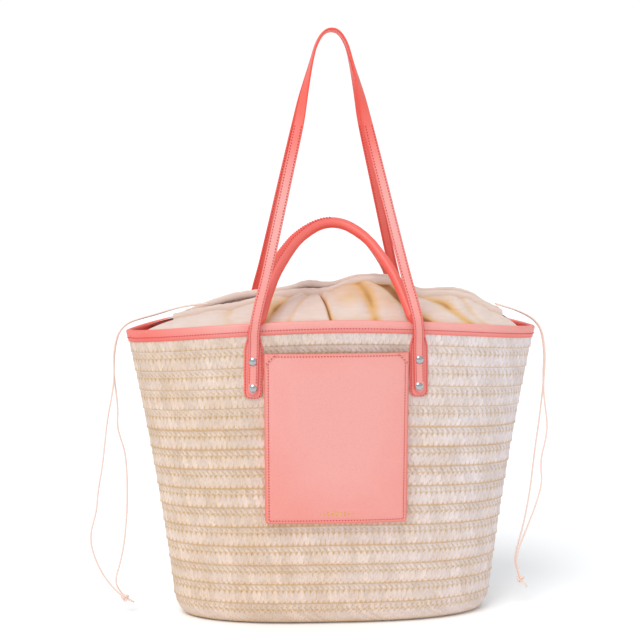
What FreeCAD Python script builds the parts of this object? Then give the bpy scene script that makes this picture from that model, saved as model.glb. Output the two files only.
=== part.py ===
import FreeCAD, Part
import math
import os

from FreeCAD import Vector

# A straw beach bag with a woven basket body, a cotton drawstring collar, two padded
# carry handles, two long shoulder straps and a slip pocket on the front.
# Millimetres.  Origin: centre of the flat base.  +Z up, front of the bag towards -Y.

# ---- driving dimensions -------------------------------------------------------------
MOUTH_HALF_WIDTH = 248.0
MOUTH_HALF_DEPTH = 90.0
BASE_HALF_WIDTH = 192.5
BASE_HALF_DEPTH = 60.0
SIDE_BOW = -18.0            # the sides pull in a little between base and mouth
CORNER_Z = 354.0            # height of the rim at the two side corners
SADDLE = 21.0               # how much higher the rim is at its middle
BOTTOM_ROUND_X = 18.0       # the bottom edge is tucked in this far
BOTTOM_ROUND_Y = 12.0
BOTTOM_ROUND_Z = 26.0
LAME_X = 2.8                # exponents of the plan outline
LAME_Y_BASE = 0.55
LAME_Y_RIM = 0.72
OUTLINE_POINTS = 40
FORM_HEIGHTS = (3.0, 8.0, 16.0, 26.0, 38.0, 55.0, 85.0, 130.0, 190.0, 260.0, 330.0, 400.0)

STRAW_THICK = 3.0
BASE_LIP_Z = 6.0
LINER_GAP = 0.4
LINER_THICK = 0.9
BINDING_HEIGHT = 13.0
BINDING_OUT = 1.3
BINDING_IN = 5.6
BINDING_THICK = 1.0
RIM_LOW = 300.0             # bounds of the region that holds the rim
RIM_HIGH = 390.0

POCKET_HALF_WIDTH = 84.4
POCKET_Z = (131.0, 339.0)
POCKET_GAP = 9.0
POCKET_THICK = 1.3
POCKET_CORNER_R = 5.0
POCKET_HEM = 11.0

TAB_X = 97.2
TAB_THICK = 2.0
# height, half width, stand-off from the straw
TAB_STATIONS = (
    (284.0, 5.0, 0.4),
    (286.0, 8.5, 0.4),
    (291.0, 11.0, 0.4),
    (320.0, 11.2, 0.4),
    (345.0, 11.0, 0.4),
    (354.0, 8.6, 0.6),
    (361.0, 6.6, 2.0),
    (376.0, 6.2, 2.1),
)
STRAP_WIDTH = 12.0
STRAP_THICK = 2.8
# height, half spacing of the two legs, stand-off from the straw
STRAP_END_STATIONS = (
    (289.0, 97.4, 2.7),
    (310.0, 96.6, 2.7),
    (335.0, 95.6, 2.7),
    (350.0, 95.0, 4.2),
    (362.0, 94.5, 6.6),
    (375.0, 94.0, 9.9),
)
RIVET_Z = (297.0, 329.0)
RIVET_CAP_R = 4.9
RIVET_CAP_H = 2.3
RIVET_POST_R = 1.6
RIVET_HOLE_R = 1.7
BACKING_THICK = 1.2
STACK_IN = STRAW_THICK + LINER_GAP + LINER_THICK + 0.25

STRAP_LEAN = 0.2753         # inward run of the straps for each unit of height
HANDLE_LEAN = 0.787         # the two handles lean until they nearly touch
HINGE_Z = 376.0
STRAP_Y = -99.5             # mid-thickness of the strap at the hinge height
# half of the strap loop: half spacing, height
STRAP_PATH = (
    (93.8, 377.5),
    (89.0, 398.0),
    (82.0, 424.0),
    (72.0, 466.0),
    (55.5, 537.0),
    (40.8, 600.0),
    (33.0, 638.0),
    (22.5, 680.0),
    (16.0, 698.0),
    (8.5, 708.5),
)
STRAP_TOP_Z = 711.5
TWIST_Z = (560.0, 704.0)
STRAP_SECTIONS = 24            # on each leg

HANDLE_Y = -91.0
HANDLE_R = 6.0
CORE_BORE_R = 4.0
CORE_R = 3.8
# half of the handle's centre line: half spacing, height
HANDLE_PATH = (
    (87.2, 379.6),
    (83.2, 392.0),
    (77.5, 407.8),
    (69.0, 426.5),
    (57.0, 445.2),
    (41.5, 464.0),
    (20.0, 478.5),
)
HANDLE_TOP_Z = 483.1

COLLAR_INSET = 7.2
COLLAR_THICK = 1.2
COLLAR_HALF_WIDTH = 224.0
RIDGE = ((-150.0, 386.5), (25.0, 412.0), (200.0, 382.5))
RIDGE_Y = -4.4
CASING_R = 3.5
CASING_BORE_R = 1.6
COLLAR_STATIONS = 13
PANEL_GAP = 0.4

CORD_R = 1.1
KNOT_R = 6.0
CORD_SPLIT_X = 238.0
CORD_SPLIT_GAP = 0.5
LEFT_KNOT = (-258.0, 0.0, 19.5)
RIGHT_KNOT = (236.5, 0.0, 33.5)
# centre lines of the four drawstring strands, from the casing to the knot
LEFT_FRONT_ROUTE = (
    (-150.6, -4.4, 386.4),
    (-171.0, -3.8, 384.9),
    (-192.0, -3.2, 380.6),
    (-213.0, -2.8, 374.2),
    (-231.0, -2.4, 369.4),
    (-246.5, -2.3, 364.6),
    (-257.5, -2.2, 354.5),
    (-262.8, -2.2, 340.0),
    (-265.4, -2.2, 321.0),
    (-264.8, -2.1, 297.0),
    (-268.6, -2.2, 272.0),
    (-274.0, -2.5, 248.0),
    (-278.0, -3.0, 217.0),
    (-281.8, -3.2, 186.0),
    (-287.8, -3.3, 156.0),
    (-290.2, -3.2, 130.0),
    (-297.2, -3.1, 108.0),
    (-298.4, -2.9, 90.0),
    (-292.0, -2.5, 66.0),
    (-281.0, -2.0, 44.0),
    (-267.0, -2.0, 27.0),
    (-258.0, -2.2, 19.5),
)
LEFT_BACK_ROUTE = (
    (-150.6, 4.4, 386.4),
    (-170.0, 3.8, 384.3),
    (-191.0, 3.2, 380.0),
    (-212.0, 2.8, 373.4),
    (-230.0, 2.4, 368.8),
    (-245.8, 2.3, 364.2),
    (-257.0, 2.2, 354.3),
    (-262.2, 2.2, 340.0),
    (-264.9, 2.2, 321.0),
    (-265.6, 2.1, 299.0),
    (-263.2, 2.1, 277.0),
    (-261.6, 2.3, 255.0),
    (-263.2, 2.6, 236.0),
    (-259.2, 2.8, 220.0),
    (-254.2, 3.0, 204.0),
    (-252.4, 3.2, 178.0),
    (-252.8, 3.3, 141.0),
    (-255.0, 3.1, 111.0),
    (-258.4, 2.8, 84.0),
    (-263.4, 2.5, 62.0),
    (-268.8, 2.2, 45.5),
    (-268.4, 2.0, 32.0),
    (-258.0, 2.2, 19.5),
)
RIGHT_FRONT_ROUTE = (
    (200.6, -4.4, 382.3),
    (219.0, -3.6, 377.2),
    (235.5, -2.8, 370.6),
    (248.6, -2.3, 362.8),
    (257.2, -2.2, 351.0),
    (260.6, -2.2, 336.0),
    (262.6, -2.2, 319.0),
    (262.0, -2.2, 299.0),
    (260.9, -2.1, 280.0),
    (262.6, -2.2, 260.0),
    (266.8, -2.6, 233.0),
    (265.0, -2.9, 213.0),
    (260.0, -3.1, 193.0),
    (259.0, -3.2, 177.0),
    (261.4, -3.2, 158.0),
    (254.2, -3.1, 131.0),
    (245.6, -2.8, 107.0),
    (237.2, -2.4, 85.0),
    (231.6, -2.0, 68.0),
    (230.8, -1.8, 56.0),
    (233.4, -1.8, 44.5),
    (236.5, -2.2, 33.5),
)
RIGHT_BACK_ROUTE = (
    (200.6, 4.4, 382.3),
    (219.0, 3.6, 376.6),
    (235.0, 2.8, 370.0),
    (248.0, 2.3, 362.3),
    (256.7, 2.2, 350.8),
    (260.0, 2.2, 336.0),
    (261.9, 2.2, 319.0),
    (261.2, 2.2, 300.0),
    (261.6, 2.1, 281.0),
    (259.8, 2.2, 263.0),
    (256.8, 2.5, 232.0),
    (253.4, 2.8, 207.0),
    (250.2, 3.1, 176.0),
    (248.0, 3.2, 152.0),
    (242.6, 3.0, 118.0),
    (236.4, 2.6, 90.0),
    (230.4, 2.0, 69.0),
    (229.3, 1.8, 56.0),
    (232.2, 1.8, 44.0),
    (236.5, 2.2, 33.5),
)
FAR = 400.0                 # half size of cutting tools
ARC_SPAN = 300.0            # half width of the tool with the rim's saddle line


# ---- the basket's form --------------------------------------------------------------
def tuck(z):
    """0 above the rounded bottom edge, 1 at the floor."""
    depth = max(0.0, 1.0 - z / BOTTOM_ROUND_Z)
    return 1.0 - math.sqrt(1.0 - depth * depth)


def half_width(z):
    level = z / CORNER_Z
    taper = BASE_HALF_WIDTH + (MOUTH_HALF_WIDTH - BASE_HALF_WIDTH) * level
    return taper + SIDE_BOW * level * (1.0 - level) - BOTTOM_ROUND_X * tuck(z)


def half_depth(z):
    taper = BASE_HALF_DEPTH + (MOUTH_HALF_DEPTH - BASE_HALF_DEPTH) * z / CORNER_Z
    return taper - BOTTOM_ROUND_Y * tuck(z)


def fullness(z):
    return LAME_Y_BASE + (LAME_Y_RIM - LAME_Y_BASE) * z / CORNER_Z


def wall_y(x, z, offset=0.0):
    """Distance from the X axis plane to the basket's outer face, moved out by offset."""
    share = min(abs(x) / (half_width(z) + offset), 1.0)
    return (half_depth(z) + offset) * (1.0 - share ** LAME_X) ** fullness(z)


def rim_z(x):
    return CORNER_Z + SADDLE * (1.0 - (x / MOUTH_HALF_WIDTH) ** 2)


def outline(z, offset):
    """A closed horizontal section of the basket."""
    wide = half_width(z) + offset
    deep = half_depth(z) + offset
    points = []
    for i in range(OUTLINE_POINTS):
        turn = 2.0 * math.pi * i / OUTLINE_POINTS
        share = abs(math.cos(turn)) ** LAME_X
        side = math.copysign(1.0, math.sin(turn))
        y = side * deep * max(1.0 - share, 0.0) ** fullness(z)
        points.append(Vector(wide * math.cos(turn), y, z))
    curve = Part.BSplineCurve()
    curve.interpolate(Points=points, PeriodicFlag=True)
    return Part.Wire([curve.toShape()])


def basket(offset, floor=0.0):
    """The basket's form as a solid, moved out by offset, from floor to above the rim."""
    heights = [floor] + [z for z in FORM_HEIGHTS if z > floor + 1.0]
    return Part.makeLoft([outline(z, offset) for z in heights], True, True)


def layer(low, high):
    """A skin round the basket between two offsets."""
    return basket(high).cut(basket(low))


def under_rim(rise):
    """Everything below the rim's saddle line, moved up by rise."""
    left = Vector(-ARC_SPAN, -FAR, rim_z(ARC_SPAN) + rise)
    right = Vector(ARC_SPAN, -FAR, left.z)
    arc = Part.Arc(left, Vector(0, -FAR, rim_z(0.0) + rise), right).toShape()
    drop = Vector(0, 0, left.z + 50.0)
    sides = Part.makePolygon([right, right - drop, left - drop, left])
    face = Part.Face(Part.Wire([arc] + sides.Edges))
    return face.extrude(Vector(0, 2 * FAR, 0))


def slab(z_low, z_high):
    return Part.makeBox(2 * FAR, 2 * FAR, z_high - z_low, Vector(-FAR, -FAR, z_low))


def mirror_back(shape):
    return shape.mirror(Vector(0, 0, 0), Vector(0, 1, 0))


def mirror_x(shape):
    return shape.mirror(Vector(0, 0, 0), Vector(1, 0, 0))


# ---- body ---------------------------------------------------------------------------
def straw_shell():
    return basket(0.0).cut(basket(-STRAW_THICK, STRAW_THICK)).common(under_rim(0.0))


def liner():
    outside = STRAW_THICK + LINER_GAP
    inside = outside + LINER_THICK
    cup = basket(-outside, outside).cut(basket(-inside, inside))
    return cup.common(under_rim(-1.0))


def rim_binding():
    """A folded strip over the top edge of straw and liner."""
    below = under_rim(BINDING_OUT - BINDING_HEIGHT)
    band = slab(RIM_LOW, RIM_HIGH).common(under_rim(BINDING_OUT)).cut(below)
    strip = band.common(layer(-BINDING_IN, BINDING_OUT))
    channel = layer(-BINDING_IN + BINDING_THICK, BINDING_OUT - BINDING_THICK).common(under_rim(0.3))
    return strip.cut(channel)


# ---- pocket -------------------------------------------------------------------------
def front_prism(wire):
    """An outline drawn in the XZ plane, extruded over the front half of the bag."""
    return Part.Face(wire).extrude(Vector(0, FAR, 0))


def rounded_panel(half, z_low, z_high, radius):
    """A panel outline with rounded lower corners."""
    y = -FAR
    k = radius * (1.0 - math.sqrt(0.5))
    edges = [
        Part.LineSegment(Vector(-half, y, z_high), Vector(-half, y, z_low + radius)).toShape(),
        Part.Arc(
            Vector(-half, y, z_low + radius),
            Vector(-half + k, y, z_low + k),
            Vector(-half + radius, y, z_low),
        ).toShape(),
        Part.LineSegment(Vector(-half + radius, y, z_low), Vector(half - radius, y, z_low)).toShape(),
        Part.Arc(
            Vector(half - radius, y, z_low),
            Vector(half - k, y, z_low + k),
            Vector(half, y, z_low + radius),
        ).toShape(),
        Part.LineSegment(Vector(half, y, z_low + radius), Vector(half, y, z_high)).toShape(),
        Part.LineSegment(Vector(half, y, z_high), Vector(-half, y, z_high)).toShape(),
    ]
    return Part.Wire(edges)


def pocket_panel():
    outer = front_prism(rounded_panel(POCKET_HALF_WIDTH, *POCKET_Z, POCKET_CORNER_R))
    inner = front_prism(
        rounded_panel(
            POCKET_HALF_WIDTH - POCKET_THICK,
            POCKET_Z[0] + POCKET_THICK,
            POCKET_Z[1] + 5.0,
            POCKET_CORNER_R - POCKET_THICK,
        )
    )
    tray = layer(0.3, POCKET_GAP + POCKET_THICK).common(outer)
    return tray.cut(layer(0.0, POCKET_GAP).common(inner))


def pocket_hem():
    """The turned and stitched band along the pocket's mouth."""
    skin = layer(POCKET_GAP + POCKET_THICK + 0.1, POCKET_GAP + POCKET_THICK + 0.8)
    half = POCKET_HALF_WIDTH - 1.0
    corner = Vector(-half, -FAR, POCKET_Z[1] - POCKET_HEM)
    return skin.common(Part.makeBox(2 * half, FAR, POCKET_HEM, corner))


def pocket_corner_patches():
    """Two small triangular reinforcements over the top corners."""
    skin = layer(POCKET_GAP + POCKET_THICK + 0.9, POCKET_GAP + POCKET_THICK + 1.6)
    top, side = POCKET_Z[1] - 0.5, POCKET_HALF_WIDTH - 0.5
    triangle = Part.makePolygon(
        [
            Vector(-side, -FAR, top),
            Vector(-side + 17.0, -FAR, top),
            Vector(-side, -FAR, top - 17.0),
            Vector(-side, -FAR, top),
        ]
    )
    patch = skin.common(front_prism(triangle))
    return Part.makeCompound([patch, mirror_x(patch)])


# ---- tabs, strap ends and rivets ----------------------------------------------------
def wall_frame(x, z):
    """Point on the front of the basket and the horizontal directions along and out of it."""
    step = 1.0
    run = Vector(2 * step, -(wall_y(x + step, z) - wall_y(x - step, z)), 0).normalize()
    out = Vector(run.y, -run.x, 0)
    return Vector(x, -wall_y(x, z), z), run, out


def flat_section(x, z, half, low, high):
    """A thin rectangle lying on the front of the basket at one height."""
    point, run, out = wall_frame(x, z)
    corners = [
        point - run * half + out * low,
        point + run * half + out * low,
        point + run * half + out * high,
        point - run * half + out * high,
    ]
    return Part.makePolygon(corners + [corners[0]])


def rivet_place(z):
    """Foot of a rivet on the left strap end's outer face, and its outward direction."""
    x = -STRAP_END_STATIONS[1][1]
    point, run, out = wall_frame(x, z)
    slope = (wall_y(x, z + 2.0) - wall_y(x, z - 2.0)) / 4.0
    out = (out - Vector(0, 0, slope)).normalize()
    return point + out * (STRAP_END_STATIONS[0][2] + STRAP_THICK), out


def rivet_holes():
    holes = []
    for z in RIVET_Z:
        face, out = rivet_place(z)
        holes.append(Part.makeCylinder(RIVET_HOLE_R, 24.0, face + out * 1.0, out * -1.0))
    return Part.makeCompound(holes)


def pair(shape):
    """The left piece and its mirror image on the right."""
    return Part.makeCompound([shape, mirror_x(shape)])


def both_sides(shape):
    """A tool for the left front corner, repeated at all four tabs."""
    left_and_right = [shape, mirror_x(shape)]
    return Part.makeCompound(left_and_right + [mirror_back(s) for s in left_and_right])


def handle_tab():
    sections = []
    for z, half, low in TAB_STATIONS:
        sections.append(flat_section(-TAB_X + (z - 284.0) * 0.02, z, half, low, low + TAB_THICK))
    return Part.makeLoft(sections, True, True).cut(rivet_holes())


def strap_end():
    sections = []
    for z, x, low in STRAP_END_STATIONS:
        sections.append(flat_section(-x, z, STRAP_WIDTH / 2, low, low + STRAP_THICK))
    return Part.makeLoft(sections, True, True).cut(rivet_holes())


def rivet_cap():
    """A domed cap with a flat foot on the strap."""
    sphere_r = (RIVET_CAP_R ** 2 + RIVET_CAP_H ** 2) / (2 * RIVET_CAP_H)
    caps = []
    for z in RIVET_Z:
        face, out = rivet_place(z)
        ball = Part.makeSphere(sphere_r, face + out * (RIVET_CAP_H - sphere_r))
        disc = Part.makeCylinder(RIVET_CAP_R + 0.01, RIVET_CAP_H + 1.0, face + out * 0.05, out)
        caps.append(ball.common(disc))
    return Part.makeCompound(caps)


def backing_patch():
    """A leather patch inside the liner, behind one handle tab."""
    sections = []
    for z, half in ((287.0, 8.0), (290.0, 10.0), (334.0, 10.0), (337.0, 8.0)):
        sections.append(flat_section(-TAB_X, z, half, -STACK_IN - BACKING_THICK, -STACK_IN))
    return Part.makeLoft(sections, True, True).cut(rivet_holes())


def rivet_stud():
    """The post through the stack, with its inner head."""
    stack = STRAP_END_STATIONS[0][2] + STRAP_THICK + STACK_IN + BACKING_THICK + 0.25
    studs = []
    for z in RIVET_Z:
        face, out = rivet_place(z)
        post = Part.makeCylinder(RIVET_POST_R, stack + 0.2, face, out * -1.0)
        head = Part.makeCylinder(RIVET_CAP_R - 0.6, 1.1, face - out * stack, out * -1.0)
        studs.append(post.fuse(head).removeSplitter())
    return Part.makeCompound(studs)


# ---- shoulder straps ----------------------------------------------------------------
def strap_curve():
    left = [Vector(-x, 0, z) for x, z in STRAP_PATH]
    right = [Vector(x, 0, z) for x, z in reversed(STRAP_PATH)]
    curve = Part.BSplineCurve()
    curve.interpolate(Points=left + [Vector(0, 0, STRAP_TOP_Z)] + right)
    return curve


def lean(point, y_at_hinge, slope):
    return Vector(point.x, y_at_hinge + (point.z - HINGE_Z) * slope, point.z)


def strap_section(curve, at):
    """The strap's rectangle at one place on its curve, with its share of the quarter twist."""
    plane_out = Vector(0, -1, STRAP_LEAN).normalize()
    centre = lean(curve.value(at), STRAP_Y, STRAP_LEAN)
    along = curve.tangent(at)[0]
    along = Vector(along.x, along.z * STRAP_LEAN, along.z).normalize()
    across = along.cross(plane_out).normalize()
    rise = (centre.z - TWIST_Z[0]) / (TWIST_Z[1] - TWIST_Z[0])
    rise = min(max(rise, 0.0), 1.0)
    twist = math.pi / 2 * rise * rise * (3.0 - 2.0 * rise)
    wide = (across * math.cos(twist) + plane_out * math.sin(twist)) * (STRAP_WIDTH / 2)
    thick = (plane_out * math.cos(twist) - across * math.sin(twist)) * (STRAP_THICK / 2)
    corners = [
        centre - wide - thick,
        centre + wide - thick,
        centre + wide + thick,
        centre - wide + thick,
    ]
    return Part.makePolygon(corners + [corners[0]])


def strap_loop():
    """A flat band that turns a quarter twist on each leg, to lie flat over a peg at its top."""
    curve = strap_curve()
    first = curve.FirstParameter
    middle = (first + curve.LastParameter) / 2
    sections = []
    for i in range(STRAP_SECTIONS + 1):
        sections.append(strap_section(curve, first + (middle - first) * i / STRAP_SECTIONS))
    leg = Part.makeLoft(sections, True, True)
    return leg.fuse(mirror_x(leg))


# ---- tubes --------------------------------------------------------------------------
def soft_path(route):
    """Straight runs joined by arcs as large as the runs allow.  Returns wire, length, radii."""
    points = [Vector(*p) for p in route]
    edges, radii = [], []
    start = points[0]
    for before, corner, after in zip(points, points[1:], points[2:]):
        into = (corner - before).normalize()
        away = (after - corner).normalize()
        run = min((corner - before).Length, (after - corner).Length)
        half_turn = into.getAngle(away) / 2
        reach = 0.45 * run
        radii.append(reach / math.tan(half_turn))
        arc_start = corner - into * reach
        arc_end = corner + away * reach
        to_centre = (away - into).normalize()
        depth = radii[-1] * (1.0 / math.cos(half_turn) - 1.0)
        arc = Part.Arc(arc_start, corner + to_centre * depth, arc_end)
        edges.append(Part.LineSegment(start, arc_start).toShape())
        edges.append(arc.toShape())
        start = arc_end
    edges.append(Part.LineSegment(start, points[-1]).toShape())
    wire = Part.Wire(edges)
    return wire, wire.Length, radii


def soft_tube(route, radius):
    wire, length, radii = soft_path(route)
    first, second = Vector(*route[0]), Vector(*route[1])
    ring = Part.Wire([Part.Circle(first, second - first, radius).toShape()])
    return wire.makePipeShell([ring], True, False), length, radii


def report_tube(name, tube, length, radii, radius):
    share = tube.Volume / (math.pi * radius ** 2 * length)
    print(f"{name}: length {length:.0f}, smallest radius {min(radii):.1f}, volume share {share:.4f}")


# ---- carry handles ------------------------------------------------------------------
def handle_route():
    left = [Vector(-x, 0, z) for x, z in HANDLE_PATH]
    right = [Vector(x, 0, z) for x, z in reversed(HANDLE_PATH)]
    route = left + [Vector(0, 0, HANDLE_TOP_Z)] + right
    return [tuple(lean(p, HANDLE_Y, HANDLE_LEAN)) for p in route]


def handle_cover():
    outer = soft_tube(handle_route(), HANDLE_R)[0]
    return outer.cut(soft_tube(handle_route(), CORE_BORE_R)[0])


def handle_core():
    tube, length, radii = soft_tube(handle_route(), CORE_R)
    report_tube("handle core", tube, length, radii, CORE_R)
    return tube


# ---- collar -------------------------------------------------------------------------
def ridge_arc():
    return Part.Arc(*[Vector(x, RIDGE_Y, z) for x, z in RIDGE])


def ridge_tube(radius):
    """A tube along the ridge of the collar."""
    wire = Part.Wire([ridge_arc().toShape()])
    start = wire.OrderedVertexes[0].Point
    heading = ridge_arc().tangent(ridge_arc().FirstParameter)[0]
    ring = Part.Wire([Part.Circle(start, heading, radius).toShape()])
    return wire.makePipeShell([ring], True, False)


def collar_casing():
    return ridge_tube(CASING_R).cut(ridge_tube(CASING_BORE_R))


def collar_panel():
    """The cloth from inside the rim up to the casing, bowed outwards."""
    arc = ridge_arc()
    sections = []
    for i in range(COLLAR_STATIONS):
        share = i / (COLLAR_STATIONS - 1)
        x = -COLLAR_HALF_WIDTH + 2 * COLLAR_HALF_WIDTH * share
        foot = Vector(x, -wall_y(x, rim_z(x), -COLLAR_INSET), rim_z(x) - 1.0)
        at = arc.FirstParameter + (arc.LastParameter - arc.FirstParameter) * share
        top = arc.value(at) - Vector(0, 1.0, CASING_R + PANEL_GAP + 0.6)
        middle = (foot + top) * 0.5 + Vector(0, 0, 4.0 * (1.0 - (2 * share - 1.0) ** 2))
        skin = Vector(0, 0.0, COLLAR_THICK)
        corners = [foot - skin, foot, middle, top, top - skin, middle - skin]
        sections.append(Part.makePolygon(corners + [corners[0]]))
    return Part.makeLoft(sections, True, True)


# ---- drawstrings --------------------------------------------------------------------
def knot(centre, tail_to):
    """A simple overhand knot: a lump with two short cord ends."""
    at = Vector(*centre)
    lump = Part.makeSphere(KNOT_R, at)
    tail = Part.makeCone(2.6, 1.6, tail_to.Length, at, tail_to)
    return lump.fuse(tail)


def strand(name, route, lump):
    """One strand, split where it crosses from the collar to the rim."""
    tube, length, radii = soft_tube(route, CORD_R)
    report_tube(name, tube, length, radii[:-1], CORD_R)
    tube = tube.cut(lump)
    side = math.copysign(1.0, route[0][0])
    inner_x = CORD_SPLIT_X - CORD_SPLIT_GAP / 2
    outer_x = side * (CORD_SPLIT_X + CORD_SPLIT_GAP / 2)
    inner = Part.makeBox(2 * inner_x, FAR, FAR, Vector(-inner_x, -FAR / 2, RIM_LOW))
    outer = Part.makeBox(FAR, FAR, FAR, Vector(min(outer_x, outer_x + side * FAR), -FAR / 2, 0))
    low = Part.makeBox(2 * FAR, FAR, RIM_LOW, Vector(-FAR, -FAR / 2, 0))
    return tube.common(inner), tube.common(outer.fuse(low))


def main():
    os.makedirs("parts", exist_ok=True)
    parts = {}

    shell = straw_shell()
    parts["straw_wall"] = shell.cut(slab(-10.0, BASE_LIP_Z)).cut(both_sides(rivet_holes()))
    parts["straw_base"] = shell.common(slab(-10.0, BASE_LIP_Z))
    parts["liner"] = liner().cut(both_sides(rivet_holes()))
    parts["rim_binding"] = rim_binding()
    parts["pocket_panel"] = pocket_panel()
    parts["pocket_hem"] = pocket_hem()
    parts["pocket_corner_patches"] = pocket_corner_patches()

    front = {
        "handle_tabs": pair(handle_tab()),
        "strap_ends": pair(strap_end()),
        "rivet_caps": pair(rivet_cap()),
        "rivet_studs": pair(rivet_stud()),
        "backing_patches": pair(backing_patch()),
        "strap_loop": strap_loop(),
        "handle_cover": handle_cover(),
        "handle_core": handle_core(),
        "collar_panel": collar_panel(),
        "collar_casing": collar_casing(),
        "casing_cord": ridge_tube(CORD_R),
    }
    for name, shape in front.items():
        parts["front_" + name] = shape
        parts["back_" + name] = mirror_back(shape)

    left_knot = knot(LEFT_KNOT, Vector(10.0, 0, -5.5))
    right_knot = knot(RIGHT_KNOT, Vector(7.5, 0, -9.0))
    parts["left_knot"] = left_knot
    parts["right_knot"] = right_knot
    strands = (
        ("left_front", LEFT_FRONT_ROUTE, left_knot),
        ("left_back", LEFT_BACK_ROUTE, left_knot),
        ("right_front", RIGHT_FRONT_ROUTE, right_knot),
        ("right_back", RIGHT_BACK_ROUTE, right_knot),
    )
    for name, route, lump in strands:
        parts[name + "_cord_lead"], parts[name + "_cord_tail"] = strand(name, route, lump)

    for name, shape in parts.items():
        box = shape.optimalBoundingBox(False)
        print(
            f"{name}: solids {len(shape.Solids)} valid {shape.isValid()} volume {shape.Volume:.0f} "
            f"x {box.XMin:.1f}..{box.XMax:.1f} y {box.YMin:.1f}..{box.YMax:.1f} z {box.ZMin:.1f}..{box.ZMax:.1f}"
        )
        shape.exportStep(f"parts/{name}.step")


main()
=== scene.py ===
"""Looks of a straw beach bag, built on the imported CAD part.

Lengths are metres in the part's own frame: origin at the centre of the base, +Z up and
the front of the bag towards -Y.
"""

import math

import bpy
import numpy as np
from mathutils import Matrix, Vector


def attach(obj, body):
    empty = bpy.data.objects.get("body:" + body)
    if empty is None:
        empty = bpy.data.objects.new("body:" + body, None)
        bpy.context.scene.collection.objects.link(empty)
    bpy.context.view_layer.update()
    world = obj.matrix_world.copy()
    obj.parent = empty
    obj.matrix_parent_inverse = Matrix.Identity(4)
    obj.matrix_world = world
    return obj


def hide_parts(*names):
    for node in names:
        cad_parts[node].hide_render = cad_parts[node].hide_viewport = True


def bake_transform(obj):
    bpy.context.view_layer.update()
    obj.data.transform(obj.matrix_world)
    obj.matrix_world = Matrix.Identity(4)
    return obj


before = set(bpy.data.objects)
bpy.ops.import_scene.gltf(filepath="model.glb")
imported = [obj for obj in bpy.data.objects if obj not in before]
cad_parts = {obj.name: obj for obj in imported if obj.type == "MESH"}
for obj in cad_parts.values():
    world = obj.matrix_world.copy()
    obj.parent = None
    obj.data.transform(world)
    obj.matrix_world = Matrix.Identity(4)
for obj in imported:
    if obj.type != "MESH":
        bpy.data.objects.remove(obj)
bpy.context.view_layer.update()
MM = 0.001

# ---- the basket's form, as in the CAD source ------------------------------------------
MOUTH_HALF_WIDTH = 0.248
MOUTH_HALF_DEPTH = 0.090
BASE_HALF_WIDTH = 0.1925
BASE_HALF_DEPTH = 0.060
SIDE_BOW = -0.018
CORNER_Z = 0.354
SADDLE = 0.021
BOTTOM_ROUND_X = 0.018
BOTTOM_ROUND_Y = 0.012
BOTTOM_ROUND_Z = 0.026
OUTLINE_POWER = 2.8
FULLNESS_BASE = 0.55
FULLNESS_RIM = 0.72
MID_RIM_Z = CORNER_Z + SADDLE

# ---- straw braid -----------------------------------------------------------------------
ROW_PITCH = 0.0246
PLAIT_PITCH = 0.0065
WALL_COLUMNS = 800
WALL_ROWS = 290

# ---- leather parts, as in the CAD source -------------------------------------------------
POCKET_HALF_WIDTH = 0.0844
POCKET_LOW_Z = 0.131
POCKET_TOP_Z = 0.339
POCKET_CORNER_R = 0.005
TAB_X = 0.0972
TAB_THICK = 0.002
# height, half width, stand-off from the straw
TAB_STATIONS = (
    (0.2840, 0.0050, 0.0004),
    (0.2846, 0.0072, 0.0004),
    (0.2860, 0.0090, 0.0004),
    (0.2890, 0.0105, 0.0004),
    (0.2930, 0.0110, 0.0004),
    (0.3200, 0.0112, 0.0004),
    (0.3450, 0.0110, 0.0004),
    (0.3540, 0.0086, 0.0006),
    (0.3610, 0.0066, 0.0020),
    (0.3700, 0.0062, 0.0021),
)
STRAP_WIDTH = 0.012
STRAP_THICK = 0.0028
# height, half spacing of the legs, stand-off from the straw
STRAP_END_STATIONS = (
    (0.289, 0.0974, 0.0027),
    (0.310, 0.0966, 0.0027),
    (0.335, 0.0956, 0.0027),
    (0.350, 0.0950, 0.0042),
    (0.362, 0.0945, 0.0066),
)
HINGE_Z = 0.376
STRAP_LEAN = 0.2753
STRAP_Y = -0.0995
STRAP_PATH = (
    (0.0938, 0.3775),
    (0.0890, 0.3980),
    (0.0820, 0.4240),
    (0.0720, 0.4660),
    (0.0555, 0.5370),
    (0.0408, 0.6000),
    (0.0330, 0.6380),
    (0.0225, 0.6800),
    (0.0160, 0.6980),
    (0.0085, 0.7085),
)
STRAP_TOP_Z = 0.7115
STRAP_STITCH_TOP_Z = 0.600
STRAP_FADE_LOW_Z = 0.490
STRAP_FADE_HIGH_Z = 0.625
TWIST_LOW_Z = 0.560
TWIST_HIGH_Z = 0.704
HANDLE_Y = -0.091
HANDLE_R = 0.006
HANDLE_LEAN = 0.787
HANDLE_PATH = (
    (0.0872, 0.3796),
    (0.0832, 0.3920),
    (0.0775, 0.4078),
    (0.0690, 0.4265),
    (0.0570, 0.4452),
    (0.0415, 0.4640),
    (0.0200, 0.4785),
)
HANDLE_TOP_Z = 0.4831

# ---- collar and drawstrings, as in the CAD source ----------------------------------------
COLLAR_INSET = 0.0072
COLLAR_HALF_WIDTH = 0.224
RIDGE_Y = 0.0044
CASING_R = 0.0035
CASING_HEM = 0.012
CASING_TALL = 1.35
CORD_R = 0.0011
LEFT_KNOT = (-0.2580, 0.0, 0.0195)
RIGHT_KNOT = (0.2365, 0.0, 0.0335)
LEFT_KNOT_TAIL = (0.0100, 0.0, -0.0055)
RIGHT_KNOT_TAIL = (0.0075, 0.0, -0.0090)
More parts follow.
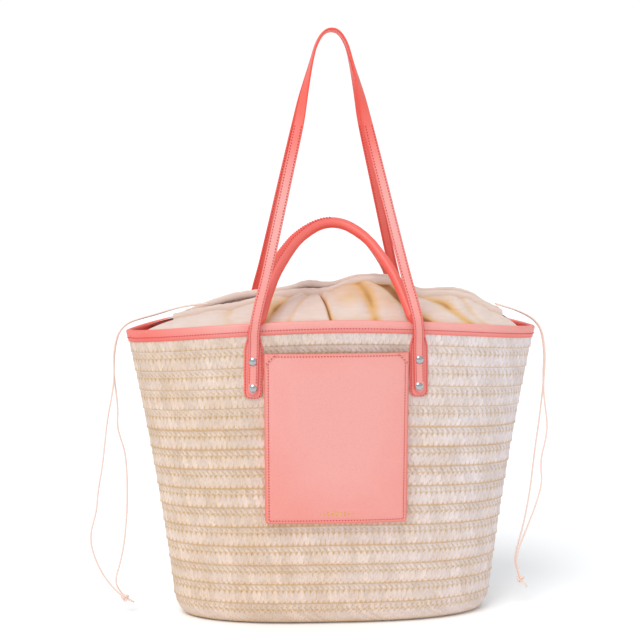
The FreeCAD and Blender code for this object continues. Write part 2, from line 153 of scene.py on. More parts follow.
# control points of the four drawstring strands, from the casing to the knot
LEFT_FRONT_ROUTE = (
    (-0.1506, -0.0044, 0.3864),
    (-0.1710, -0.0038, 0.3849),
    (-0.1920, -0.0032, 0.3806),
    (-0.2130, -0.0028, 0.3742),
    (-0.2310, -0.0024, 0.3694),
    (-0.2465, -0.0023, 0.3646),
    (-0.2575, -0.0022, 0.3545),
    (-0.2628, -0.0022, 0.3400),
    (-0.2654, -0.0022, 0.3210),
    (-0.2648, -0.0021, 0.2970),
    (-0.2686, -0.0022, 0.2720),
    (-0.2740, -0.0025, 0.2480),
    (-0.2780, -0.0030, 0.2170),
    (-0.2818, -0.0032, 0.1860),
    (-0.2878, -0.0033, 0.1560),
    (-0.2902, -0.0032, 0.1300),
    (-0.2972, -0.0031, 0.1080),
    (-0.2984, -0.0029, 0.0900),
    (-0.2920, -0.0025, 0.0660),
    (-0.2810, -0.0020, 0.0440),
    (-0.2670, -0.0020, 0.0270),
    (-0.2580, -0.0022, 0.0195),
)
LEFT_BACK_ROUTE = (
    (-0.1506, 0.0044, 0.3864),
    (-0.1700, 0.0038, 0.3843),
    (-0.1910, 0.0032, 0.3800),
    (-0.2120, 0.0028, 0.3734),
    (-0.2300, 0.0024, 0.3688),
    (-0.2458, 0.0023, 0.3642),
    (-0.2570, 0.0022, 0.3543),
    (-0.2622, 0.0022, 0.3400),
    (-0.2649, 0.0022, 0.3210),
    (-0.2656, 0.0021, 0.2990),
    (-0.2632, 0.0021, 0.2770),
    (-0.2616, 0.0023, 0.2550),
    (-0.2632, 0.0026, 0.2360),
    (-0.2592, 0.0028, 0.2200),
    (-0.2542, 0.0030, 0.2040),
    (-0.2524, 0.0032, 0.1780),
    (-0.2528, 0.0033, 0.1410),
    (-0.2550, 0.0031, 0.1110),
    (-0.2584, 0.0028, 0.0840),
    (-0.2634, 0.0025, 0.0620),
    (-0.2688, 0.0022, 0.0455),
    (-0.2684, 0.0020, 0.0320),
    (-0.2580, 0.0022, 0.0195),
)
RIGHT_FRONT_ROUTE = (
    (0.2006, -0.0044, 0.3823),
    (0.2190, -0.0036, 0.3772),
    (0.2355, -0.0028, 0.3706),
    (0.2486, -0.0023, 0.3628),
    (0.2572, -0.0022, 0.3510),
    (0.2606, -0.0022, 0.3360),
    (0.2626, -0.0022, 0.3190),
    (0.2620, -0.0022, 0.2990),
    (0.2609, -0.0021, 0.2800),
    (0.2626, -0.0022, 0.2600),
    (0.2668, -0.0026, 0.2330),
    (0.2650, -0.0029, 0.2130),
    (0.2600, -0.0031, 0.1930),
    (0.2590, -0.0032, 0.1770),
    (0.2614, -0.0032, 0.1580),
    (0.2542, -0.0031, 0.1310),
    (0.2456, -0.0028, 0.1070),
    (0.2372, -0.0024, 0.0850),
    (0.2316, -0.0020, 0.0680),
    (0.2308, -0.0018, 0.0560),
    (0.2334, -0.0018, 0.0445),
    (0.2365, -0.0022, 0.0335),
)
RIGHT_BACK_ROUTE = (
    (0.2006, 0.0044, 0.3823),
    (0.2190, 0.0036, 0.3766),
    (0.2350, 0.0028, 0.3700),
    (0.2480, 0.0023, 0.3623),
    (0.2567, 0.0022, 0.3508),
    (0.2600, 0.0022, 0.3360),
    (0.2619, 0.0022, 0.3190),
    (0.2612, 0.0022, 0.3000),
    (0.2616, 0.0021, 0.2810),
    (0.2598, 0.0022, 0.2630),
    (0.2568, 0.0025, 0.2320),
    (0.2534, 0.0028, 0.2070),
    (0.2502, 0.0031, 0.1760),
    (0.2480, 0.0032, 0.1520),
    (0.2426, 0.0030, 0.1180),
    (0.2364, 0.0026, 0.0900),
    (0.2304, 0.0020, 0.0690),
    (0.2293, 0.0018, 0.0560),
    (0.2322, 0.0018, 0.0440),
    (0.2365, 0.0022, 0.0335),
)

# ---- camera, light and floor -------------------------------------------------------------
CAMERA_AIM = Vector((-0.0145, 0.0, 0.3645))
CAMERA_AZIMUTH = math.radians(-3.0)
CAMERA_ELEVATION = math.radians(8.0)
CAMERA_DISTANCE = 1.85
CAMERA_LENS = 85.5
CAMERA_ROLL = math.radians(0.20)


def linear(red, green, blue):
    """A colour given as the eye sees it, 0 to 255, as scene-linear values."""
    channels = []
    for value in (red, green, blue):
        value = value / 255.0
        channels.append(value / 12.92 if value <= 0.04045 else ((value + 0.055) / 1.055) ** 2.4)
    return (*channels, 1.0)


def make_camera():
    data = bpy.data.cameras.new("camera")
    data.lens = CAMERA_LENS
    camera = bpy.data.objects.new("camera", data)
    bpy.context.scene.collection.objects.link(camera)
    level = math.cos(CAMERA_ELEVATION)
    away = Vector(
        (
            level * math.sin(CAMERA_AZIMUTH),
            -level * math.cos(CAMERA_AZIMUTH),
            math.sin(CAMERA_ELEVATION),
        )
    )
    turn = (-away).to_track_quat("-Z", "Y").to_matrix() @ Matrix.Rotation(-CAMERA_ROLL, 3, "Z")
    camera.matrix_world = Matrix.Translation(CAMERA_AIM + away * CAMERA_DISTANCE) @ turn.to_4x4()
    bpy.context.scene.camera = camera


def make_lights():
    sun = bpy.data.lights.new("key", "SUN")
    sun.energy = 1.5
    sun.angle = math.radians(35)
    sun.color = (1.0, 0.985, 0.965)
    key = bpy.data.objects.new("key", sun)
    key.rotation_euler = Vector((0.5, 0.75, -1.25)).to_track_quat("-Z", "Y").to_euler()
    bpy.context.scene.collection.objects.link(key)
    world = bpy.data.worlds.new("studio")
    world.use_nodes = True
    nodes, links = world.node_tree.nodes, world.node_tree.links
    sky = nodes["Background"]
    sky.inputs["Color"].default_value = (0.93, 0.965, 1.0, 1.0)
    sky.inputs["Strength"].default_value = 0.84
    paper = nodes.new("ShaderNodeBackground")
    paper.inputs["Color"].default_value = (1.0, 1.0, 1.0, 1.0)
    paper.inputs["Strength"].default_value = 1.05
    seen = nodes.new("ShaderNodeLightPath")
    mix = nodes.new("ShaderNodeMixShader")
    links.new(seen.outputs["Is Camera Ray"], mix.inputs[0])
    links.new(sky.outputs[0], mix.inputs[1])
    links.new(paper.outputs[0], mix.inputs[2])
    links.new(mix.outputs[0], nodes["World Output"].inputs["Surface"])
    bpy.context.scene.world = world
    bpy.context.scene.view_settings.view_transform = "Standard"


def make_floor():
    mesh = bpy.data.meshes.new("floor")
    corners = [(-6, -4, -0.0006), (6, -4, -0.0006), (6, 8, -0.0006), (-6, 8, -0.0006)]
    mesh.from_pydata(corners, [], [(0, 1, 2, 3)])
    floor = bpy.data.objects.new("floor", mesh)
    bpy.context.scene.collection.objects.link(floor)
    paper = bpy.data.materials.new("paper")
    paper.use_nodes = True
    shader = paper.node_tree.nodes["Principled BSDF"]
    shader.inputs["Base Color"].default_value = (0.97, 0.97, 0.97, 1.0)
    shader.inputs["Roughness"].default_value = 0.95
    shader.inputs["Specular IOR Level"].default_value = 0.1
    mesh.materials.append(paper)


make_camera()
make_lights()
make_floor()


# ---- the form, on arrays -----------------------------------------------------------------
def tuck(z):
    """0 above the rounded bottom edge, 1 at the floor."""
    depth = np.clip(1.0 - z / BOTTOM_ROUND_Z, 0.0, 1.0)
    return 1.0 - np.sqrt(1.0 - depth * depth)


def half_width(z):
    level = z / CORNER_Z
    taper = BASE_HALF_WIDTH + (MOUTH_HALF_WIDTH - BASE_HALF_WIDTH) * level
    return taper + SIDE_BOW * level * (1.0 - level) - BOTTOM_ROUND_X * tuck(z)


def half_depth(z):
    taper = BASE_HALF_DEPTH + (MOUTH_HALF_DEPTH - BASE_HALF_DEPTH) * z / CORNER_Z
    return taper - BOTTOM_ROUND_Y * tuck(z)


def fullness(z):
    return FULLNESS_BASE + (FULLNESS_RIM - FULLNESS_BASE) * z / CORNER_Z


def wall_y(x, z, offset=0.0):
    """Distance from the middle plane to the basket's face, moved out by offset."""
    share = np.clip(np.abs(x) / (half_width(z) + offset), 0.0, 1.0)
    return (half_depth(z) + offset) * (1.0 - share**OUTLINE_POWER) ** fullness(z)


def rim_z(x):
    return CORNER_Z + SADDLE * (1.0 - (x / MOUTH_HALF_WIDTH) ** 2)


def rim_at(turn):
    """Height of the rim, by turn round the bag."""
    return CORNER_Z + SADDLE * np.sin(turn) ** 2


def ring(turn, z, offset):
    """Points round the basket at one or many heights."""
    wide = half_width(z) + offset
    deep = (half_depth(z) + offset) * (1.0 - np.abs(np.cos(turn)) ** OUTLINE_POWER) ** fullness(z)
    return np.stack([wide * np.cos(turn), np.sign(np.sin(turn)) * deep, z + 0.0 * turn], axis=-1)


def even_turns(count, z):
    """Turns that space points evenly round the basket, from the middle of the back."""
    fine = np.linspace(0.5 * math.pi, 2.5 * math.pi, 6001)
    points = ring(fine, np.full_like(fine, z), 0.0)
    run = length_along(points)
    return np.interp(np.linspace(0.0, run[-1], count + 1)[:-1], run, fine)


def smooth(low, high, value):
    """0 below low, 1 above high, with an eased step between."""
    share = np.clip((value - low) / (high - low), 0.0, 1.0)
    return share * share * (3.0 - 2.0 * share)


def bell(value, centre, width):
    return np.exp(-(((value - centre) / width) ** 2))


def unit(vectors):
    return vectors / np.maximum(np.linalg.norm(vectors, axis=-1, keepdims=True), 1e-12)


def grid_normals(points, closed=False):
    """A unit normal at each point of a grid, from its neighbours."""
    down = np.gradient(points, axis=0)
    if closed:
        across = np.roll(points, -1, axis=1) - np.roll(points, 1, axis=1)
    else:
        across = np.gradient(points, axis=1)
    return unit(np.cross(across, down))


def even_path(points, step):
    """The same line as points, with even spacing close to step."""
    points = np.asarray(points, float)
    run = length_along(points)
    count = max(int(round(run[-1] / step)), 1) + 1
    places = np.linspace(0.0, run[-1], count)
    return np.stack([np.interp(places, run, points[:, i]) for i in range(3)], axis=-1)


def soft_line(points, count):
    """A smooth curve through a few points, by Catmull-Rom spans."""
    points = np.asarray(points, float)
    padded = np.concatenate([[2 * points[0] - points[1]], points, [2 * points[-1] - points[-2]]])
    places = np.linspace(0.0, len(points) - 1.0, count)
    span = np.minimum(places.astype(int), len(points) - 2)
    t = (places - span)[:, None]
    a, b, c, d = (padded[span + i] for i in range(4))
    return 0.5 * (2 * b + (c - a) * t + (2 * a - 5 * b + 4 * c - d) * t**2 + (3 * b - a - 3 * c + d) * t**3)


def frames_along(points):
    """Tangent and two side directions at each point, carried along without twist."""
    tangents = unit(np.gradient(points, axis=0))
    side = np.cross(tangents[0], (0.0, 1.0, 0.0))
    if np.linalg.norm(side) < 0.1:
        side = np.cross(tangents[0], (1.0, 0.0, 0.0))
    sides = []
    for tangent in tangents:
        side = side - tangent * side.dot(tangent)
        side = side / np.linalg.norm(side)
        sides.append(side)
    sides = np.array(sides)
    return tangents, sides, np.cross(tangents, sides)


class Pieces:
    """Collects grids of points into one mesh, with a value for shading at each point."""

    def __init__(self):
        self.points = []
        self.shades = []
        self.faces = []
        self.slots = []
        self.count = 0

    def grid(self, points, shade=1.0, slot=0, wrap=False, caps=False):
        """A rows-by-columns grid, closed across its columns and at its ends if asked."""
        rows, columns = points.shape[:2]
        first = self.count
        index = np.arange(rows * columns).reshape(rows, columns) + first
        right = np.roll(index, -1, axis=1) if wrap else index[:, 1:]
        left = index if wrap else index[:, :-1]
        quads = np.stack([left[:-1], left[1:], right[1:], right[:-1]], axis=-1).reshape(-1, 4)
        faces = quads.tolist()
        if caps:
            faces.append(index[0].tolist())
            faces.append(index[-1][::-1].tolist())
        self.points.append(points.reshape(-1, 3))
        self.shades.append(np.broadcast_to(shade, (rows, columns)).reshape(-1))
        self.faces += faces
        self.slots += [slot] * len(faces)
        self.count += rows * columns

    def finish(self, name, materials):
        mesh = bpy.data.meshes.new(name)
        mesh.from_pydata(np.concatenate(self.points).tolist(), [], self.faces)
        for material in materials:
            mesh.materials.append(material)
        mesh.polygons.foreach_set("material_index", self.slots)
        mesh.polygons.foreach_set("use_smooth", [True] * len(self.faces))
        shade = mesh.attributes.new("shade", "FLOAT", "POINT")
        shade.data.foreach_set("value", np.concatenate(self.shades))
        mesh.update()
        piece = bpy.data.objects.new(name, mesh)
        bpy.context.scene.collection.objects.link(piece)
        return piece


def length_along(points):
    """Length from the first point to each point of a line."""
    return np.concatenate([[0.0], np.cumsum(np.linalg.norm(np.diff(points, axis=0), axis=1))])


def colour_points(piece, name, colours):
    """Stores one colour at each point."""
    layer = piece.data.attributes.new(name, "FLOAT_COLOR", "POINT")
    layer.data.foreach_set("color", np.concatenate([colours, np.ones((len(colours), 1))], axis=1).ravel())


# ---- materials ---------------------------------------------------------------------------
class Finish:
    """A node material: its shader, and short ways to add and join nodes."""

    def __init__(self, name, roughness, specular=0.5):
        self.material = bpy.data.materials.new(name)
        self.material.use_nodes = True
        self.tree = self.material.node_tree
        self.shader = self.tree.nodes["Principled BSDF"]
        self.shader.inputs["Roughness"].default_value = roughness
        self.shader.inputs["Specular IOR Level"].default_value = specular
        place = self.add("ShaderNodeTexCoord")
        self.place = place.outputs["Object"]

    def add(self, kind, inputs=None, **settings):
        node = self.tree.nodes.new(kind)
        for name, value in settings.items():
            setattr(node, name, value)
        for name, value in (inputs or {}).items():
            if isinstance(value, bpy.types.NodeSocket):
                self.tree.links.new(value, node.inputs[name])
            else:
                node.inputs[name].default_value = value
        return node

    def value(self, name):
        return self.add("ShaderNodeAttribute", attribute_name=name).outputs["Fac"]

    def colour(self, name):
        return self.add("ShaderNodeAttribute", attribute_name=name).outputs["Color"]

    def stretched(self, x, y, z):
        node = self.add("ShaderNodeMapping", {"Vector": self.place})
        node.inputs["Scale"].default_value = (x, y, z)
        return node.outputs[0]

    def noise(self, scale, detail=3.0, vector=None):
        inputs = {"Vector": vector or self.place, "Scale": scale, "Detail": detail}
        node = self.add("ShaderNodeTexNoise", inputs)
        return node.outputs["Fac"]

    def ramp(self, factor, *stops):
        node = self.add("ShaderNodeValToRGB", {"Fac": factor})
        stops_now = node.color_ramp.elements
        while len(stops_now) < len(stops):
            stops_now.new(0.5)
        for stop, (place, colour) in zip(stops_now, stops):
            stop.position = place
            stop.color = colour
        return node.outputs["Color"]

    def mix(self, factor, first, second, blend="MIX"):
        node = self.add("ShaderNodeMix", data_type="RGBA", blend_type=blend)
        for socket, value in ((node.inputs[0], factor), (node.inputs[6], first), (node.inputs[7], second)):
            if isinstance(value, bpy.types.NodeSocket):
                self.tree.links.new(value, socket)
            else:
                socket.default_value = value
        return node.outputs[2]

    def math(self, operation, first, second=0.0):
        node = self.add("ShaderNodeMath", operation=operation)
        for socket, value in ((node.inputs[0], first), (node.inputs[1], second)):
            if isinstance(value, bpy.types.NodeSocket):
                self.tree.links.new(value, socket)
            else:
                socket.default_value = value
        return node.outputs[0]

    def varied(self, value, noise, amount):
        """The value, moved up and down by a noise that runs from 0 to 1."""
        spread = self.math("MULTIPLY", self.math("SUBTRACT", noise, 0.5), amount)
        return self.math("ADD", value, spread)

    def paint(self, colour):
        self.tree.links.new(colour, self.shader.inputs["Base Color"])

    def bump(self, height, strength, distance):
        node = self.add("ShaderNodeBump", {"Height": height, "Strength": strength, "Distance": distance})
        self.tree.links.new(node.outputs[0], self.shader.inputs["Normal"])

    def rough(self, value):
        self.tree.links.new(value, self.shader.inputs["Roughness"])


def straw_finish():
    """Plaited paper straw: the weave's colour, painted shade and painted light included, comes with the mesh,
    the fibres from nodes.
    """
    finish = Finish("woven_straw", 0.62, 0.32)
    fibres = finish.noise(1.0, 2.0, finish.stretched(900.0, 900.0, 220.0))
    blotch = finish.noise(34.0, 2.0)
    fibre_tint = finish.ramp(fibres, (0.30, linear(236, 232, 226)), (0.60, linear(255, 255, 255)))
    blotch_tint = finish.ramp(blotch, (0.35, linear(247, 243, 236)), (0.65, linear(255, 255, 255)))
    woven = finish.mix(1.0, finish.colour("straw"), fibre_tint, "MULTIPLY")
    finish.paint(finish.mix(1.0, woven, blotch_tint, "MULTIPLY"))
    finish.bump(finish.math("ADD", fibres, finish.value("shade")), 0.5, 0.0006)
    finish.rough(finish.math("ADD", finish.math("MULTIPLY", fibres, 0.25), 0.48))
    return finish.material


def leather_finish(name, deep, light, roughness=0.42):
    """Coated leather: deeper in colour where the shade value is low, which paints shade where the leather
    rounds away from the light or lies in shadow, and gives the cut edges their own deeper colour; with a fine
    grain.
    """
    finish = Finish(name, roughness, 0.42)
    cells = finish.add("ShaderNodeTexVoronoi", {"Vector": finish.place, "Scale": 950.0}, feature="SMOOTH_F1")
    grain = cells.outputs["Distance"]
    cloud = finish.noise(21.0, 3.0)
    tone = finish.varied(finish.value("shade"), cloud, 0.3)
    base = finish.ramp(tone, (0.0, deep), (1.0, light))
    pores = finish.ramp(grain, (0.0, linear(255, 255, 255)), (0.75, linear(246, 240, 240)))
    finish.paint(finish.mix(1.0, base, pores, "MULTIPLY"))
    finish.bump(finish.math("ADD", grain, finish.noise(420.0, 2.0)), 0.10, 0.0003)
    sheen = finish.math("MULTIPLY", finish.noise(120.0, 2.0), 0.18)
    finish.rough(finish.math("ADD", sheen, roughness - 0.09))
    finish.shader.inputs["Coat Weight"].default_value = 0.08
    finish.shader.inputs["Coat Roughness"].default_value = 0.3
    return finish.material


def thread_finish():
    finish = Finish("sewing_thread", 0.55, 0.3)
    inputs = {"Vector": finish.place, "Scale": 900.0, "Distortion": 1.0}
    plies = finish.add("ShaderNodeTexWave", inputs, bands_direction="DIAGONAL")
    finish.paint(finish.ramp(plies.outputs["Fac"], (0.2, linear(186, 44, 50)), (0.8, linear(212, 66, 68))))
    finish.bump(plies.outputs["Fac"], 0.3, 0.0002)
    return finish.material


def cotton_finish(name, light, warm_shade, deepest_shade):
    """Thin cotton: a plain weave, with painted golden shade where it folds over itself."""
    finish = Finish(name, 0.85, 0.15)
    across = finish.add("ShaderNodeTexWave", {"Vector": finish.stretched(1.0, 0.4, 0.0), "Scale": 620.0})
    along = finish.add("ShaderNodeTexWave", {"Vector": finish.stretched(0.0, 0.4, 1.0), "Scale": 620.0})
    across.bands_direction = "X"
    along.bands_direction = "Z"
    weave = finish.math("MULTIPLY", across.outputs["Fac"], along.outputs["Fac"])
    slub = finish.noise(1.0, 3.0, finish.stretched(60.0, 60.0, 420.0))
    shade = finish.value("shade")
    fold = finish.varied(shade, finish.noise(38.0, 2.0), 0.25)
    # painted shade: the deepest colour in the slit, a golden shade in the folds, the cloth's own colour where
    # lit
    base = finish.ramp(fold, (0.0, deepest_shade), (0.28, warm_shade), (0.78, light))
    slubs = finish.ramp(slub, (0.35, linear(250, 248, 246)), (0.65, linear(255, 255, 255)))
    finish.paint(finish.mix(1.0, base, slubs, "MULTIPLY"))
    finish.bump(finish.math("ADD", weave, finish.math("MULTIPLY", slub, 1.5)), 0.22, 0.0003)
    finish.shader.inputs["Sheen Weight"].default_value = 0.15
    finish.shader.inputs["Sheen Roughness"].default_value = 0.6
    return finish.material


def cord_finish(name, deep, light):
    finish = Finish(name, 0.8, 0.2)
    fibres = finish.noise(1400.0, 2.0)
    tone = finish.varied(finish.value("shade"), fibres, 0.5)
    finish.paint(finish.ramp(tone, (0.0, deep), (0.9, light)))
    finish.bump(fibres, 0.4, 0.0003)
    return finish.material


def nickel_finish():
    finish = Finish("rivet_nickel", 0.16, 0.5)
    finish.shader.inputs["Metallic"].default_value = 1.0
    scuffs = finish.noise(1.0, 2.0, finish.stretched(500.0, 500.0, 2600.0))
    finish.paint(finish.ramp(scuffs, (0.3, linear(150, 151, 155)), (0.7, linear(200, 201, 204))))
    finish.rough(finish.math("ADD", finish.math("MULTIPLY", scuffs, 0.14), 0.08))
    finish.bump(scuffs, 0.05, 0.0001)
    return finish.material


def lining_finish():
    finish = Finish("lining_cloth", 0.8, 0.2)
    across = finish.add("ShaderNodeTexWave", {"Vector": finish.place, "Scale": 520.0}, bands_direction="X")
    along = finish.add("ShaderNodeTexWave", {"Vector": finish.place, "Scale": 520.0}, bands_direction="Z")
    weave = finish.math("MULTIPLY", across.outputs["Fac"], along.outputs["Fac"])
    blotch = finish.noise(25.0, 3.0)
    finish.paint(finish.ramp(blotch, (0.3, linear(216, 200, 182)), (0.7, linear(232, 220, 206))))
    finish.bump(weave, 0.25, 0.0003)
    return finish.material


def foil_finish():
    finish = Finish("gold_foil", 0.35, 0.5)
    finish.shader.inputs["Metallic"].default_value = 0.55
    flakes = finish.noise(900.0, 2.0)
    finish.paint(finish.ramp(flakes, (0.3, linear(196, 136, 74)), (0.7, linear(236, 190, 130))))
    finish.bump(flakes, 0.1, 0.0001)
    return finish.material


STRAW = straw_finish()
POCKET_LEATHER = leather_finish("pocket_leather", linear(234, 126, 110), linear(236, 165, 157), 0.44)
TRIM_LEATHER = leather_finish("trim_leather", linear(238, 84, 68), linear(238, 168, 160), 0.40)
THREAD = thread_finish()
COTTON = cotton_finish("collar_cotton", linear(219, 200, 189), linear(214, 171, 110), linear(150, 92, 44))
CORD = cord_finish("drawstring_cotton", linear(222, 182, 162), linear(244, 222, 212))
NICKEL = nickel_finish()
LINING = lining_finish()
FOIL = foil_finish()


# ---- straw -------------------------------------------------------------------------------
ROW_PHASE = -0.10
ROW_COUNT = 64


def braid(run, around, place, painted_light_warmth):
    """Height and colour of plaited rows, with painted shade between the plaits, in the holes and at each
    row's foot, and painted light tinting the straw by side: run is along a row, place counts rows downwards.
    """
    random = np.random.default_rng(11)
    row = np.floor(place).astype(int)
    down = place - row
    along = run / around * np.round(around / PLAIT_PITCH) + random.random(ROW_COUNT)[row % ROW_COUNT]
    along = along + 0.12 * np.sin(run * 61.0 + row * 1.7) + 0.08 * np.sin(run * 147.0 + row * 2.9)
    plait = np.floor(along + 0.35 * (down - 0.66)).astype(int)
    across = along + 0.35 * (down - 0.66) - plait
    tones = random.random((ROW_COUNT, 256))[row % ROW_COUNT, plait % 256]
    sizes = random.random((ROW_COUNT, 256))[row % ROW_COUNT, plait % 256]
    oval = 1.0 - ((across - 0.5) / (0.54 + 0.05 * sizes)) ** 2 - ((down - 0.65) / (0.345 + 0.03 * sizes)) ** 2
    petal = np.sqrt(np.clip(oval, 0.0, 1.0))
    slant = along - 3.4 * down
    slant = slant - np.floor(slant)
    ridge = np.sqrt(np.clip(1.0 - (2.0 * slant - 1.0) ** 2, 0.0, 1.0))
    in_herring = smooth(0.02, 0.06, down) * (1.0 - smooth(0.26, 0.34, down))
    in_petals = smooth(0.24, 0.32, down)
    edge = 1.0 - smooth(0.02, 0.055, down)
    fold = smooth(0.945, 0.99, down)
    rise = 0.95 * (1.0 - down) + 0.55 * petal * in_petals + 0.40 * ridge * in_herring
    rise = rise + 0.40 * edge - 0.15 * fold
    height = (rise - 1.6) * MM
    painted_light_warmth = painted_light_warmth[..., None]
    filled = smooth(0.02, 0.30, oval) * in_petals + smooth(0.25, 0.75, ridge) * in_herring + edge
    hole = bell(slant, 0.03, 0.12) * bell(down, 0.19, 0.07)
    hole = hole + 0.5 * bell(across, 0.02, 0.09) * bell(down, 0.36, 0.05)
    # painted light: the colours of the plaits and of what lies between them shift with the painted light
    # share
    light = np.array([229.0, 218.0, 221.0]) * (1.0 - painted_light_warmth) + np.array([224.0, 203.0, 189.0]) * painted_light_warmth
    # painted shade: the colour between the plaits, deeper and warmer than the plaits
    gap_shade = np.array([214.0, 190.0, 166.0]) * (1.0 - painted_light_warmth) + np.array([205.0, 172.0, 130.0]) * painted_light_warmth
    # painted shadow: a near-black colour in the holes of the weave
    hole_shadow = np.array([146.0, 118.0, 72.0])
    bright = np.array([238.0, 227.0, 224.0])
    # painted shade: a tan band at the foot of each row, where it tucks under the next row
    tuck_shade = np.array([212.0, 168.0, 124.0])
    tone = (0.965 + 0.07 * tones)[..., None]
    colour = gap_shade + (light * tone - gap_shade) * np.clip(filled, 0.0, 1.0)[..., None]
    colour = colour + (bright - colour) * (0.7 * edge)[..., None]
    colour = colour + (tuck_shade - colour) * (0.5 * smooth(0.92, 0.97, down))[..., None]
    colour = colour + (hole_shadow - colour) * np.clip(0.8 * hole, 0.0, 0.85)[..., None]
    return height, np.clip(colour / 255.0, 0.0, 1.0) ** 2.2, petal


def run_around(points):
    """Length along each row of a closed grid, and each row's whole length."""
    steps = np.linalg.norm(np.roll(points, -1, axis=1) - points, axis=2)
    run = np.cumsum(steps, axis=1) - steps
    return run, steps.sum(axis=1, keepdims=True)


def woven_wall():
    turn, level = np.meshgrid(even_turns(WALL_COLUMNS, 0.2), np.linspace(0.0, 1.0, WALL_ROWS + 1))
    points = ring(turn, level * (rim_at(turn) - 0.5 * MM), 0.0)
    run, around = run_around(points)
    place = (1.0 - level) * MID_RIM_Z / ROW_PITCH + ROW_PHASE
    # painted light: the straw is tinted warmer on the left and lower down, paler and pinker on the right, as
    # the light falls on it
    painted_light_warmth = np.clip(0.48 - points[..., 0] / 0.36 + 0.35 * (1.0 - level), 0.0, 1.0)
    height, colours, petal = braid(run, around, place, painted_light_warmth)
    outward = -grid_normals(points, closed=True)
    pieces = Pieces()
    pieces.grid(points + outward * height[..., None], petal, wrap=True)
    wall = pieces.finish("basket_wall", [STRAW])
    colour_points(wall, "straw", colours.reshape(-1, 3))
    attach(wall, "bag")
    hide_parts("straw_wall")


def woven_base():
    """The oval underside, plaited round and round from its middle."""
    turn, share = np.meshgrid(even_turns(420, 0.0), np.linspace(1.0, 0.004, 62))
    rim = ring(turn, np.zeros_like(turn), -0.9 * MM)
    points = rim * share[..., None]
    run, around = run_around(points)
    place = (1.0 - share) * half_depth(np.array(0.0)) / (0.6 * ROW_PITCH)
    height, colours, petal = braid(run, around, place, np.full_like(share, 0.6))
    points[..., 2] = 0.1 * MM - height
    pieces = Pieces()
    pieces.grid(points, petal, wrap=True)
    base = pieces.finish("basket_base", [STRAW])
    colour_points(base, "straw", colours.reshape(-1, 3))
    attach(base, "bag")
    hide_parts("straw_base")


def lining():
    """The cloth cup inside the basket, a little slack."""
    turns = even_turns(200, 0.2)
    turn, level = np.meshgrid(turns, np.linspace(1.0, 0.02, 60))
    z = 4.4 * MM + level * (rim_at(turn) - 6.0 * MM)
    waves = np.sin(turn * 9.0 + level * 7.0) + np.sin(turn * 23.0 - level * 11.0)
    slack = 0.5 * MM * waves * (1.0 - level**6)
    points = ring(turn, z, -3.8 * MM)
    inward = np.stack([np.cos(turn), np.sin(turn), 0.0 * turn], axis=-1)
    points = points - inward * (0.6 * MM + np.abs(slack))[..., None]
    floor = points[-1:] * np.linspace(0.98, 0.02, 16)[:, None, None] * np.array([1.0, 1.0, 0.0])
    floor = floor + np.array([0.0, 0.0, 5.2 * MM])
    pieces = Pieces()
    pieces.grid(np.concatenate([points, floor]), 0.8, wrap=True)
    cloth = pieces.finish("lining", [LINING])
    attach(cloth, "bag")
    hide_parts("liner")


# ---- stitches ----------------------------------------------------------------------------
def add_stitches(pieces, line, outs, slot, pitch=3.5 * MM, length=2.0 * MM, radius=0.60 * MM):
    """A row of thread stitches along a line, each half sunk in the leather."""
    run = length_along(line)
    count = int(run[-1] / pitch)
    angles = np.linspace(0.0, 2.0 * math.pi, 6, endpoint=False)
    for i in range(count):
        middle = (i + 0.5) * run[-1] / count
        places = (middle - length / 2, middle + length / 2)
        ends = [np.array([np.interp(place, run, line[:, k]) for k in range(3)]) for place in places]
        out = unit(np.array([np.interp(middle, run, outs[:, k]) for k in range(3)]))
        side = unit(np.cross(ends[1] - ends[0], out))
        rings = []
        for along, size in ((0.0, 0.35), (0.12, 0.85), (0.5, 1.0), (0.88, 0.85), (1.0, 0.35)):
            arch = 4.0 * along * (1.0 - along) * 0.5 - 0.1
            centre = ends[0] * (1.0 - along) + ends[1] * along + out * radius * arch
            around = np.cos(angles)[:, None] * side + np.sin(angles)[:, None] * out
            rings.append(centre + around * radius * size)
        pieces.grid(np.array(rings), 0.5, slot, wrap=True, caps=True)


# ---- binding -----------------------------------------------------------------------------
# offset from the straw's face and height over the rim, round the folded strip
BINDING_PROFILE = (
    (0.35, -12.9),
    (1.25, -13.0),
    (1.50, -12.4),
    (1.55, -8.5),
    (1.75, -4.5),
    (1.75, -1.8),
    (1.35, 0.2),
    (0.30, 1.25),
    (-2.10, 1.60),
    (-4.40, 1.30),
    (-5.50, 0.10),
    (-5.80, -3.0),
    (-5.70, -12.5),
    (-5.40, -13.0),
    (-4.85, -12.9),
)


BINDING_SEAM = -8.0


def rim_ring(turn, offset, rise):
    return ring(turn, rim_at(turn) + rise, offset)


